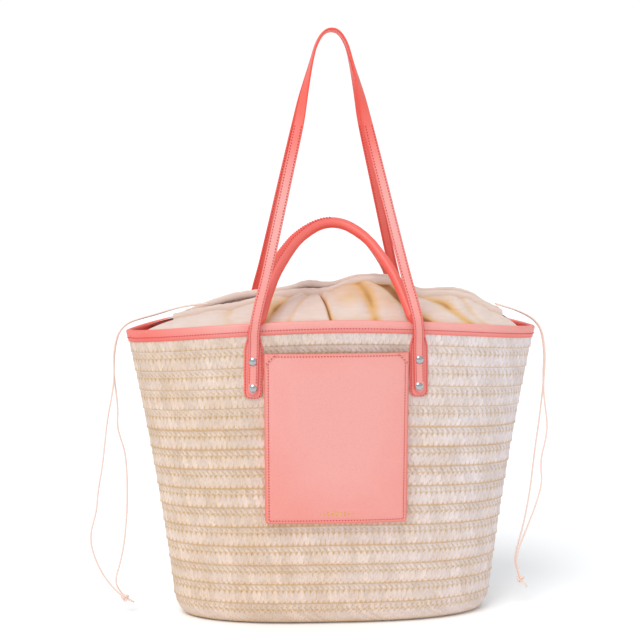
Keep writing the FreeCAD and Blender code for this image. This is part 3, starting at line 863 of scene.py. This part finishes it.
def binding():
    """A leather strip folded over the rim, sewn through near its lower edge."""
    turns = even_turns(720, CORNER_Z)
    profile = np.array(BINDING_PROFILE) * MM
    ripple = 0.12 * MM * np.sin(turns * 37.0) * np.sin(turns * 11.0 + 1.0)
    points = np.stack([rim_ring(turns, off + ripple, rise) for off, rise in profile])
    # painted shade: the strip is deeper in colour towards the left end of the rim and a little towards the
    # right end
    from_left = smooth(-0.240, -0.11, points[..., 0])
    middle = 0.30 + 0.66 * from_left * (1.0 - 0.3 * smooth(0.17, 0.25, points[..., 0]))
    # painted shade across the strip: deepest at its lower edges and on its inner face, deeper as it turns
    # over the top into the rim
    edges = np.array([0.0, 0.1, 0.45, 0.8, 1.0, 1.0, 0.95, 0.85, 0.7, 0.5, 0.2, 0.05, 0.0, 0.0, 0.0])
    pieces = Pieces()
    pieces.grid(points, middle * edges[:, None], wrap=True)
    closed = np.concatenate([turns, turns[:1] + 2.0 * math.pi])
    for offset, face in ((1.62 * MM, 1.0), (-5.78 * MM, -1.0)):
        line = rim_ring(closed, offset, BINDING_SEAM * MM)
        outs = face * np.stack([np.cos(closed), np.sin(closed), 0.0 * closed], axis=-1)
        add_stitches(pieces, line, outs, 1)
    strip = pieces.finish("rim_strip", [TRIM_LEATHER, THREAD])
    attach(strip, "bag")
    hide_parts("rim_binding")


# ---- pocket ------------------------------------------------------------------------------
def front_normal(x, z):
    step = 1.0 * MM
    slope_x = (wall_y(x + step, z) - wall_y(x - step, z)) / (2 * step)
    slope_z = (wall_y(x, z + step) - wall_y(x, z - step)) / (2 * step)
    return unit(np.stack([-slope_x, -np.ones_like(x), -slope_z], axis=-1))


def pocket_point(across, z, out):
    """A point over the pocket's area: across is -1 to 1, out is how far off the straw."""
    corner = np.clip(POCKET_LOW_Z + POCKET_CORNER_R - z, 0.0, POCKET_CORNER_R)
    pull = POCKET_CORNER_R - np.sqrt(np.maximum(POCKET_CORNER_R**2 - corner**2, 0.0))
    x = across * (POCKET_HALF_WIDTH - pull)
    return np.stack([x, -(wall_y(x, z) + out), z], axis=-1)


def pocket_out(across, z):
    """How far the pocket's face stands off the straw: rounded at its sewn edges, slack inside."""
    from_side = (1.0 - np.abs(across)) * POCKET_HALF_WIDTH
    from_foot = z - POCKET_LOW_Z
    near = np.minimum(from_side, from_foot)
    edge = 1.0 - np.clip(1.0 - near / (3.2 * MM), 0.0, 1.0) ** 2
    belly = 1.3 * MM * smooth(0.0, 40.0 * MM, near)
    dip = -0.5 * MM * bell(near, 5.2 * MM, 1.8 * MM)
    slack = 0.45 * MM * np.sin(across * 4.1 + 0.6) * np.sin((z - POCKET_LOW_Z) * 26.0)
    slack = slack * smooth(0.0, 30.0 * MM, near)
    return 5.6 * MM + 4.6 * MM * np.sqrt(np.clip(edge, 0.0, 1.0)) + dip + belly * 0.6 + slack


def pocket():
    sides = 1.0 - np.array([0.0, 0.25, 0.7, 1.4, 2.3, 3.4, 4.5, 5.6, 7.0]) * MM / POCKET_HALF_WIDTH
    middle = np.linspace(sides[-1], -sides[-1], 60)[1:-1]
    across = np.concatenate([-sides, middle[::-1], sides[::-1]])
    foot = POCKET_LOW_Z + np.array([0.0, 0.3, 0.8, 1.5, 2.4, 3.4, 4.5, 5.6, 7.0]) * MM
    heights = np.concatenate([foot, np.linspace(foot[-1], POCKET_TOP_Z, 62)[1:]])
    across, z = np.meshgrid(across, heights)
    out = pocket_out(across, z)
    near = np.minimum((1.0 - np.abs(across)) * POCKET_HALF_WIDTH, z - POCKET_LOW_Z)
    near = np.minimum(near, (POCKET_TOP_Z - z) + 1.2 * MM)
    # painted shade: the face is deeper at its sewn edges, where it rounds down to the straw, with a deeper
    # edge line, and broadly deeper towards all its edges
    shade = 0.05 + 0.70 * smooth(0.0, 5.0 * MM, near) + 0.22 * smooth(4.0 * MM, 60.0 * MM, near)
    # painted shade low on the left of the face, and painted light towards the top
    painted_shade_low_left = bell(across, -0.75, 0.5) * bell(z, 0.155, 0.05)
    shade = shade + 0.16 * smooth(POCKET_LOW_Z, POCKET_TOP_Z, z) - 0.18 * painted_shade_low_left
    face = pocket_point(across, z, out)
    back = pocket_point(across * 0.992, z + 0.3 * MM * (z < POCKET_LOW_Z + MM), out - 1.2 * MM)
    pieces = Pieces()
    pieces.grid(face, shade)
    # painted shade on the back panel inside the pocket and on the lip; the side walls are deepest, painted
    # shade with the cut edges' own deeper colour
    pieces.grid(back[:, ::-1], 0.2)
    pieces.grid(np.stack([face[-1], back[-1]]), 0.15)
    left_wall = pocket_point(across[:, 0], z[:, 0], np.full(len(z), 0.5 * MM))
    right_wall = pocket_point(across[:, -1], z[:, -1], np.full(len(z), 0.5 * MM))
    foot_wall = pocket_point(across[0], z[0], np.full(across.shape[1], 0.5 * MM))
    pieces.grid(np.stack([left_wall, face[:, 0]]), 0.0)
    pieces.grid(np.stack([face[:, -1], right_wall]), 0.0)
    pieces.grid(np.stack([face[0], foot_wall]), 0.0)
    side = 1.0 - 4.6 * MM / POCKET_HALF_WIDTH
    rise = np.linspace(POCKET_TOP_Z - 1.0 * MM, POCKET_LOW_Z + 4.6 * MM, 100)
    reach = np.linspace(-side, side, 100)
    lines = (
        (np.full(100, -side), rise),
        (reach, np.full(100, POCKET_LOW_Z + 4.6 * MM)),
        (np.full(100, side), rise[::-1]),
        (reach, np.full(100, POCKET_TOP_Z - 3.4 * MM)),
    )
    for line_across, line_z in lines:
        lift = pocket_out(line_across, line_z) + 0.05 * MM
        line = pocket_point(line_across, line_z, lift)
        add_stitches(pieces, line, front_normal(line_across * 0.084, line_z), 1)
    for hand in (-1.0, 1.0):
        add_corner_patch(pieces, hand)
    add_motif(pieces)
    piece = pieces.finish("slip_pocket", [POCKET_LEATHER, THREAD, FOIL])
    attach(piece, "bag")
    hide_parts("pocket_panel", "pocket_hem", "pocket_corner_patches")


def add_corner_patch(pieces, hand):
    """A triangle of leather sewn over a top corner of the pocket."""
    size = 15.0 * MM
    rows, columns = 9, 9
    down, over = np.meshgrid(np.linspace(0.0, 1.0, rows), np.linspace(0.0, 1.0, columns), indexing="ij")
    inset = 0.8 * MM
    x = POCKET_HALF_WIDTH - inset - over * size * (1.0 - down)
    z = POCKET_TOP_Z - inset - down * size
    across = hand * x / POCKET_HALF_WIDTH
    edge = np.minimum(np.minimum(over, 1.0 - over), np.minimum(down * 2.0, 1.0)) > 0.05
    top = pocket_point(across, z, pocket_out(across, z) + 0.25 * MM + 0.4 * MM * edge)
    if hand > 0:
        top = top[:, ::-1]
    pieces.grid(top, 0.35 + 0.3 * edge)
    share = np.linspace(0.04, 0.96, 40)
    line_x = POCKET_HALF_WIDTH - inset - (size - 2.4 * MM) * (1.0 - share)
    line_z = POCKET_TOP_Z - inset - (size - 2.4 * MM) * share
    line_across = hand * line_x / POCKET_HALF_WIDTH
    lift = pocket_out(line_across, line_z) + 0.7 * MM
    add_stitches(pieces, pocket_point(line_across, line_z, lift), front_normal(hand * line_x, line_z), 1)


def add_motif(pieces):
    """A small foil ornament low on the pocket: a row of lens shapes, the largest in the middle."""
    z_mid = POCKET_LOW_Z + 13.0 * MM
    for i in range(9):
        x_mid = (i - 4) * 5.0 * MM
        size = (3.0 - 0.35 * abs(i - 4)) * MM
        angles = np.linspace(0.0, 2.0 * math.pi, 16, endpoint=False)
        rings = []
        for share, lift in ((1.0, 0.02), (0.92, 0.10), (0.05, 0.12)):
            x = x_mid + size * 0.62 * share * np.cos(angles)
            z = z_mid + size * share * np.sin(angles)
            across = x / POCKET_HALF_WIDTH
            rings.append(pocket_point(across, z, pocket_out(across, z) + lift * MM))
        pieces.grid(np.array(rings)[:, ::-1], 0.5, 2, wrap=True)


# ---- straps and handles ------------------------------------------------------------------
def wall_frame(x, z):
    """A point on the basket's front and the directions along and out of it."""
    step = 1.0 * MM
    run = unit(np.array([2 * step, -(wall_y(x + step, z) - wall_y(x - step, z)), 0.0]))
    return np.array([x, -wall_y(x, z), z]), run, np.array([run[1], -run[0], 0.0])


def section(centre, wide, thick, power, count=20):
    """A rounded section: a power of 1 is an ellipse, and a smaller one is squarer."""
    turns = np.linspace(0.0, 2.0 * math.pi, count, endpoint=False)
    c, s = np.cos(turns), np.sin(turns)
    across = (np.sign(c) * np.abs(c) ** power)[:, None] * wide
    over = (np.sign(s) * np.abs(s) ** power)[:, None] * thick
    return centre + across + over, turns


def over_the_top(path, top_z):
    """The left leg's points, the top, and the first point past it."""
    left = [(-x, 0.0, z) for x, z in path]
    return left + [(0.0, 0.0, top_z), (path[-1][0], 0.0, path[-1][1])]


def mirrored(sections):
    """The same sections on the other leg, in the order that carries on over the top."""
    other = sections[::-1].copy()
    other[..., 0] *= -1.0
    return other


def strap_leg():
    """Centres, width and thickness directions of the left leg, from its sewn end to the top."""
    rows = []
    for z, x, low in STRAP_END_STATIONS:
        point, run, out = wall_frame(-x, z)
        rows.append((point + out * (low + STRAP_THICK / 2), run, out))
    sewn = soft_line([row[0] for row in rows], 26)
    sewn_run = soft_line([row[1] for row in rows], 26)
    sewn_out = soft_line([row[2] for row in rows], 26)
    loop = soft_line(over_the_top(STRAP_PATH, STRAP_TOP_Z), 400)
    loop = even_path(loop[loop[:, 0] <= 1e-6], 3.0 * MM)
    loop[:, 1] = STRAP_Y + (loop[:, 2] - HINGE_Z) * STRAP_LEAN
    tangents = unit(np.gradient(loop, axis=0))
    tangents[-1] = (1.0, 0.0, 0.0)
    plane_out = unit(np.array([0.0, -1.0, STRAP_LEAN]))
    across = unit(np.cross(tangents, plane_out))
    twist = math.pi / 2 * smooth(TWIST_LOW_Z, TWIST_HIGH_Z, loop[:, 2])[:, None]
    wide = across * np.cos(twist) + plane_out * np.sin(twist)
    thick = plane_out * np.cos(twist) - across * np.sin(twist)
    if wide[0, 0] < 0:
        wide = -wide
    centres = np.concatenate([sewn, loop])
    return centres, unit(np.concatenate([sewn_run, wide])), unit(np.concatenate([sewn_out, thick]))


def strap(side):
    """One shoulder strap: its sewn ends and its loop are one length of leather."""
    centres, wide, thick = strap_leg()
    count = len(centres)
    width = np.full(count, STRAP_WIDTH / 2)
    tip = np.clip((centres[:, 2] - centres[0, 2]) / (5.5 * MM), 0.0, 1.0)
    width = width * np.sqrt(np.clip(1.0 - (1.0 - tip) ** 2, 0.02, 1.0))
    sections = []
    for i in range(count):
        ring_points, turns = section(centres[i], wide[i] * width[i], thick[i] * STRAP_THICK / 2, 0.42, 24)
        sections.append(ring_points)
    sections = np.array(sections)
    face = np.abs(np.cos(turns)) ** 0.42
    inner = smooth(0.1, -0.1, np.sin(turns))
    shade = (0.20 + 0.80 * smooth(1.0, 0.72, face)) * (1.0 - 0.75 * inner)
    fade = 0.80 + 0.25 * smooth(0.40, 0.50, centres[:, 2])
    fade = fade * (1.0 - 0.85 * smooth(STRAP_FADE_LOW_Z, STRAP_FADE_HIGH_Z, centres[:, 2]))
    pieces = Pieces()
    whole = np.concatenate([sections, mirrored(sections)[1:]])
    fades = np.concatenate([fade, fade[::-1][1:]])
    pieces.grid(whole, fades[:, None] * shade[None, :], wrap=True, caps=True)
    for edge in (-1.0, 1.0):
        for over in (-1.0, 1.0):
            sewn_rows = np.where(centres[:, 2] < STRAP_STITCH_TOP_Z)[0][4:]
            line = centres + wide * edge * (width - 2.0 * MM)[:, None]
            line = line + thick * over * (STRAP_THICK / 2 + 0.02 * MM)
            line, outs = line[sewn_rows], thick[sewn_rows] * over
            add_stitches(pieces, line, outs, 1)
            other = line[::-1] * np.array([-1.0, 1.0, 1.0])
            other_outs = outs[::-1] * np.array([-1.0, 1.0, 1.0])
            add_stitches(pieces, other, other_outs, 1)
    piece = pieces.finish(f"{side}_shoulder_strap", [TRIM_LEATHER, THREAD])
    turn_to(piece, side)
    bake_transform(piece)
    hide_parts(f"{side}_strap_ends", f"{side}_strap_loop")


def turn_to(piece, side):
    """Mirrors a piece made for the front to the back of the bag."""
    if side == "back":
        piece.data.transform(Matrix.Scale(-1.0, 4, (0.0, 1.0, 0.0)))
        piece.data.flip_normals()


def handle(side):
    """One carry handle: two flat tabs that narrow over the rim into a rolled tube."""
    centres, wides, thicks, powers = [], [], [], []
    for z, half, low in TAB_STATIONS:
        point, run, out = wall_frame(-TAB_X + (z - TAB_STATIONS[0][0]) * 0.02, z)
        centres.append(point + out * (low + TAB_THICK / 2))
        wides.append(run * half)
        thicks.append(out * TAB_THICK / 2)
        powers.append(0.35)
    tube = soft_line(over_the_top(HANDLE_PATH, HANDLE_TOP_Z), 300)
    tube = even_path(tube[tube[:, 0] <= 1e-6], 3.0 * MM)
    tube[:, 1] = HANDLE_Y + (tube[:, 2] - HINGE_Z) * HANDLE_LEAN
    tangents = unit(np.gradient(tube, axis=0))
    tangents[-1] = (1.0, 0.0, 0.0)
    plane_out = unit(np.array([0.0, -1.0, HANDLE_LEAN]))
    for place, tangent in zip(tube, tangents):
        across = unit(np.cross(plane_out, tangent))
        if across[0] < -0.5 or (abs(across[0]) <= 0.5 and across[2] > 0.5):
            across = -across
        centres.append(place)
        wides.append(across * HANDLE_R)
        thicks.append(plane_out * HANDLE_R)
        powers.append(1.0)
    tabs = len(TAB_STATIONS)
    keys = np.concatenate([np.arange(tabs), tabs + np.arange(len(tube))])
    fine = np.concatenate([np.linspace(0.0, tabs + 2.0, 70), np.arange(tabs + 3, tabs + len(tube))])

    def spread(values):
        values = np.array(values, float)
        if values.ndim == 1:
            return np.interp(fine, keys, values)
        return np.stack([np.interp(fine, keys, values[:, i]) for i in range(values.shape[1])], axis=-1)

    centres, wides, thicks, powers = spread(centres), spread(wides), spread(thicks), spread(powers)
    sections = []
    for i in range(len(centres)):
        wrinkle = 1.0 + 0.012 * math.sin(i * 1.9) + 0.010 * math.sin(i * 0.73)
        ring_points, turns = section(centres[i], wides[i] * wrinkle, thicks[i], powers[i], 28)
        sections.append(ring_points)
    sections = np.array(sections)
    # painted shade: the rolled tube is deeper in colour towards its sides, where it rounds away from the
    # light; the flat tabs are deeper at their cut edges
    flat = np.clip((centres[:, 2] - 0.352) / 0.02, 0.0, 1.0)
    face = np.abs(np.cos(turns)) ** 0.5
    shade = (0.27 - 0.22 * flat)[:, None] + (0.30 - 0.1 * flat)[:, None] * smooth(1.0, 0.7, face)[None, :]
    pieces = Pieces()
    whole = np.concatenate([sections, mirrored(sections)[1:]])
    pieces.grid(whole, np.concatenate([shade, shade[::-1][1:]]), wrap=True, caps=True)
    rows = np.where(centres[:, 2] < 0.356)[0]
    rows = rows[4:]
    reach = np.linalg.norm(wides, axis=1) - 1.9 * MM
    outs = unit(thicks)
    lefts = centres - unit(wides) * reach[:, None] + outs * (TAB_THICK / 2 + 0.02 * MM)
    rights = centres + unit(wides) * reach[:, None] + outs * (TAB_THICK / 2 + 0.02 * MM)
    outline = np.concatenate([lefts[rows][::-1], rights[rows]])
    outline_outs = np.concatenate([outs[rows][::-1], outs[rows]])
    add_stitches(pieces, outline, outline_outs, 1)
    add_stitches(pieces, outline * np.array([-1.0, 1.0, 1.0]), outline_outs * np.array([-1.0, 1.0, 1.0]), 1)
    seam = np.where((centres[:, 2] > 0.384))[0]
    under = centres[seam] - unit(wides)[seam] * (HANDLE_R * 0.72) + unit(thicks)[seam] * (HANDLE_R * 0.70)
    add_stitches(pieces, under, unit(unit(thicks)[seam] - unit(wides)[seam]), 1, pitch=3.6 * MM)
    piece = pieces.finish(f"{side}_carry_handle", [TRIM_LEATHER, THREAD])
    turn_to(piece, side)
    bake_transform(piece)
    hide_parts(f"{side}_handle_tabs", f"{side}_handle_cover", f"{side}_handle_core")


# ---- collar ------------------------------------------------------------------------------
# top edge of the gathered cloth as x and z, each half from left to right
BACK_RIDGE = (
    (-0.178, 0.3765),
    (-0.150, 0.3875),
    (-0.118, 0.3975),
    (-0.086, 0.4015),
    (-0.056, 0.4045),
    (-0.030, 0.4120),
    (-0.002, 0.4100),
    (0.034, 0.4185),
    (0.076, 0.4165),
    (0.108, 0.4015),
    (0.146, 0.4020),
    (0.170, 0.3960),
    (0.188, 0.3845),
    (0.206, 0.3760),
)
FRONT_RIDGE = (
    (-0.192, 0.3735),
    (-0.165, 0.3795),
    (-0.138, 0.3840),
    (-0.110, 0.3880),
    (-0.070, 0.3990),
    (-0.036, 0.4030),
    (-0.006, 0.4040),
    (0.034, 0.4170),
    (0.074, 0.4140),
    (0.108, 0.3995),
    (0.146, 0.3990),
    (0.170, 0.3930),
    (0.190, 0.3820),
    (0.208, 0.3745),
)
# shallow and deep folds of the front half: where each meets the ridge and the rim as shares of
# the width, its width, and how deep it is in millimetres
LONG_FOLDS = (
    (0.190, 0.215, 0.020, 1.2),
    (0.345, 0.310, 0.016, 2.2),
    (0.400, 0.372, 0.010, 1.5),
    (0.530, 0.600, 0.018, 2.6),
    (0.585, 0.735, 0.026, 3.6),
    (0.690, 0.860, 0.022, 2.4),
    (0.800, 0.900, 0.018, 1.5),
)
# broad golden patches of painted shade: share of the width, width and strength
WARM_SHADE_PATCHES = ((0.345, 0.030, 0.30), (0.545, 0.045, 0.30), (0.640, 0.040, 0.34), (0.790, 0.040, 0.20))
SLIT_TOP = 0.442
SLIT_RUN = 0.044


def collar_ridge(share, side):
    """The top of the gathered cloth, with the rises and dips of the bunches."""
    line = soft_line([(x, 0.0, z) for x, z in (BACK_RIDGE if side == "back" else FRONT_RIDGE)], 600)
    places = np.linspace(0.0, 1.0, 600)
    return np.interp(share, places, line[:, 0]), np.interp(share, places, line[:, 2])


def pleats(share, up, side):
    """How far the gathered cloth stands in or out, and its painted light and shade at each point."""
    phase = 0.0 if side == "front" else 1.9
    lean = share + 0.03 * (1.0 - up) * np.sin(share * 9.0 + phase)
    wave = np.sin(2 * math.pi * 9.0 * lean + 1.3 * np.sin(share * 15.0 + phase) + phase)
    wave = wave + 0.5 * np.sin(2 * math.pi * 17.0 * lean + 1.7 * np.sin(share * 11.0 + phase))
    height = 0.55 * MM * wave * (0.3 + 0.7 * up)
    # painted light and shade: lighter on the crests of the pleats, deeper in their valleys
    light = 0.86 + 0.07 * wave * (0.3 + 0.7 * up)
    if side == "front":
        for top, foot, width, size in LONG_FOLDS:
            line = share - (foot + (top - foot) * up)
            height = height - size * MM * bell(line, 0.0, width) * smooth(-0.1, 0.3, up)
            height = height + 0.7 * size * MM * bell(line, -2.0 * width, 1.2 * width)
            # painted shade in each long fold
            light = light - 0.21 * size * bell(line, 0.25 * width, 0.85 * width)
        # painted shade: broad golden patches over the front half
        for centre, width, depth in WARM_SHADE_PATCHES:
            light = light - depth * bell(share + 0.05 * up, centre, width) * smooth(0.05, 0.5, up)
        slit = share - (SLIT_TOP + SLIT_RUN * (1.0 - up))
        height = height - 4.5 * MM * bell(slit, 0.0, 0.0040) + 1.6 * MM * bell(slit, 0.012, 0.010)
        # painted shadow down the slit, and painted shade beside it
        light = light - 1.4 * bell(slit, 0.0, 0.0022 + 0.0014 * (1.0 - up))
        light = light - 0.2 * bell(slit, 0.008, 0.006)
    return height, np.clip(light, 0.0, 1.0)


def collar(side):
    """Half of the drawstring collar: gathered cloth from inside the rim to the rolled casing."""
    columns, panel_rows, roll_rows = 480, 44, 20
    share, up = np.meshgrid(np.linspace(0.0, 1.0, columns), np.linspace(0.0, 1.0, panel_rows))
    foot_x = -COLLAR_HALF_WIDTH + 2.0 * COLLAR_HALF_WIDTH * share
    foot_z = rim_z(foot_x) - 1.0 * MM
    foot_y = -wall_y(foot_x, foot_z, -COLLAR_INSET)
    top_x, top_z = collar_ridge(share, side)
    join_z = top_z - CASING_R - 2.6 * MM
    join_y = -RIDGE_Y - 3.0 * MM
    bow = (0.6 + 3.4 * (1.0 - (2.0 * share - 1.0) ** 2)) * MM * np.sin(math.pi * up)
    x = foot_x + (top_x - foot_x) * up
    y = foot_y + (join_y - foot_y) * up
    z = foot_z + (join_z - foot_z) * up**0.85 + bow
    points = np.stack([x, y, z], axis=-1)
    normals = grid_normals(points)
    normals = normals * np.sign(normals[..., 2:3] + 1e-9)
    height, light = pleats(share, up, side)
    end = smooth(0.0, 0.03, share) * smooth(1.0, 0.97, share)
    points = points + normals * (height * smooth(0.0, 0.18, up) * end)[..., None]
    share, around = np.meshgrid(np.linspace(0.0, 1.0, columns), np.linspace(0.10, 0.96, roll_rows))
    roll_x, roll_z = collar_ridge(share, side)
    turn = math.pi * (1.22 - 1.95 * around)
    gather = np.sin(2 * math.pi * 24.0 * share + 3.0 * np.sin(share * 31.0)) * np.sin(math.pi * around)
    size = CASING_R * (1.0 + 0.05 * gather)
    roll_y = -RIDGE_Y + size * np.cos(turn)
    roll = np.stack([roll_x, roll_y, roll_z - CASING_R + CASING_TALL * size * np.sin(turn)], axis=-1)
    slack = 1.0 - smooth(0.10, 0.45, around)
    roll = roll + (points[-1] - roll[0])[None] * slack[..., None]
    # painted light and shade: the casing is lighter on its gathers and deeper under the roll, where it meets
    # the panel
    roll_light = 0.9 + 0.06 * gather - 0.22 * bell(around, 0.16, 0.06)
    fall = np.linspace(0.0, 1.0, 8)[1:, None]
    hem_wave = np.sin(2 * math.pi * 17.0 * share[:1] + 2.0 * np.sin(share[:1] * 19.0))
    hem = np.repeat(roll[-1][None], len(fall), axis=0)
    hem[..., 1] += (4.2 + 0.4 * hem_wave) * MM * fall
    hem[..., 2] -= CASING_HEM * fall
    # painted light and shade on the ripples of the hem, a little deeper lower down
    hem_light = 0.95 + 0.05 * hem_wave - 0.02 * fall
    pieces = Pieces()
    # painted shade at the foot of the cloth, where it goes into the rim
    shade = np.concatenate([light - 0.2 * bell(up, 0.0, 0.10), roll_light[1:], hem_light])
    pieces.grid(np.concatenate([points, roll[1:], hem]), np.clip(shade, 0.0, 1.0))
    piece = pieces.finish(f"{side}_collar_cloth", [COTTON])
    turn_to(piece, side)
    thickness = piece.modifiers.new("thickness", "SOLIDIFY")
    thickness.thickness = 0.5 * MM
    thickness.offset = 0.0
    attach(piece, f"{side}_collar")
    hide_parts(f"{side}_collar_panel", f"{side}_collar_casing")


# ---- cords -------------------------------------------------------------------------------
def spline_line(name, route):
    """Points along the smooth curve whose control points are the route."""
    curve = bpy.data.curves.new(name, "CURVE")
    curve.dimensions = "3D"
    curve.resolution_u = 24
    spline = curve.splines.new("NURBS")
    spline.points.add(len(route) - 1)
    for point, place in zip(spline.points, route):
        point.co = (*place, 1.0)
    spline.order_u = 3
    spline.use_endpoint_u = True
    carrier = bpy.data.objects.new(name, curve)
    line = bpy.data.meshes.new_from_object(carrier)
    points = np.array([vertex.co[:] for vertex in line.vertices])
    bpy.data.objects.remove(carrier)
    bpy.data.curves.remove(curve)
    bpy.data.meshes.remove(line)
    return points


def add_twisted(pieces, points, radius, pitch, plies=3, count=12, caps=True):
    """A laid cord: plies that wind round each other, as one surface along the points."""
    tangents, sides, others = frames_along(points)
    run = length_along(points)
    turns = np.linspace(0.0, 2.0 * math.pi, count, endpoint=False)[None, :]
    lay = 2.0 * math.pi * run[:, None] / pitch
    lobe = np.abs(np.cos(0.5 * plies * (turns - lay)))
    size = radius * (0.74 + 0.26 * lobe**0.7)
    rings = points[:, None, :]
    rings = rings + sides[:, None, :] * (np.cos(turns) * size)[..., None]
    rings = rings + others[:, None, :] * (np.sin(turns) * size)[..., None]
    # painted shade: deeper in the grooves between the plies, lighter on their crowns
    pieces.grid(rings, 0.15 + 0.75 * lobe, wrap=True, caps=caps)


def strand(name, route):
    line = even_path(spline_line(name, route), 0.8 * MM)
    pieces = Pieces()
    add_twisted(pieces, line, CORD_R, 5.2 * MM)
    piece = pieces.finish(f"{name}_strand", [CORD])
    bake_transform(piece)
    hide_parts(f"{name}_cord_lead", f"{name}_cord_tail")


def knot(name, centre, tail):
    """An overhand knot in the two strands, with their two short ends below it."""
    centre = np.array(centre)
    t = np.linspace(0.0, 2.0 * math.pi, 120)
    loop = [np.sin(t) + 2 * np.sin(2 * t), 0.9 * np.sin(3 * t), np.cos(t) - 2 * np.cos(2 * t)]
    loop = np.stack(loop, axis=-1)
    pieces = Pieces()
    add_twisted(pieces, centre + loop[:-1] * 1.25 * MM, 1.75 * MM, 6.0 * MM, caps=True)
    way = unit(np.array(tail))
    length = float(np.linalg.norm(tail))
    for lean in (-1.0, 1.0):
        reach = np.linspace(0.0, 1.0, 14)
        sideways = np.array([0.0, 1.1 * MM * lean, 0.0])
        ends = centre + way * (reach * length * (1.0 + 0.04 * lean))[:, None]
        ends = ends + sideways * np.sin(reach * 2.6)[:, None]
        add_twisted(pieces, ends, 1.0 * MM, 5.2 * MM)
        for fray in range(7):
            angle = fray * 2.0 * math.pi / 7
            spread = np.array([math.cos(angle) * way[2], math.sin(angle), -math.cos(angle) * way[0]])
            hair = ends[-1] + (way * 1.1 * MM) * np.linspace(-0.3, 1.0, 4)[:, None]
            hair = hair + spread * 0.7 * MM * np.linspace(0.3, 1.2, 4)[:, None]
            add_twisted(pieces, hair, 0.22 * MM, 3.0 * MM, count=6)
    piece = pieces.finish(f"{name}_knot_piece", [CORD])
    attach(piece, "bag")
    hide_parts(f"{name}_knot")
    return piece


def casing_cord(side):
    """The stretch of drawstring hidden in the casing, seen where it opens at each end."""
    x, z = collar_ridge(np.linspace(0.06, 0.985, 420), side)
    line = np.stack([x, np.full_like(x, -RIDGE_Y if side == "front" else RIDGE_Y), z - CASING_R], axis=-1)
    pieces = Pieces()
    add_twisted(pieces, line, CORD_R, 5.2 * MM)
    piece = pieces.finish(f"{side}_cord_in_casing", [CORD])
    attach(piece, f"{side}_collar")
    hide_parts(f"{side}_casing_cord")


# ---- metal and inner leather that keep their CAD shape -----------------------------------
def finish_cad_nodes():
    for side in ("front", "back"):
        for node in (f"{side}_rivet_caps", f"{side}_rivet_studs"):
            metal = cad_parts[node]
            metal.data.materials.clear()
            metal.data.materials.append(NICKEL)
        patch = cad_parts[f"{side}_backing_patches"]
        patch.data.materials.clear()
        patch.data.materials.append(POCKET_LEATHER)


left_knot = knot("left", LEFT_KNOT, LEFT_KNOT_TAIL)
right_knot = knot("right", RIGHT_KNOT, RIGHT_KNOT_TAIL)
strand("left_front", LEFT_FRONT_ROUTE)
strand("left_back", LEFT_BACK_ROUTE)
strand("right_front", RIGHT_FRONT_ROUTE)
strand("right_back", RIGHT_BACK_ROUTE)
woven_wall()
woven_base()
lining()
binding()
pocket()
for side in ("front", "back"):
    strap(side)
    handle(side)
    collar(side)
    casing_cord(side)
finish_cad_nodes()
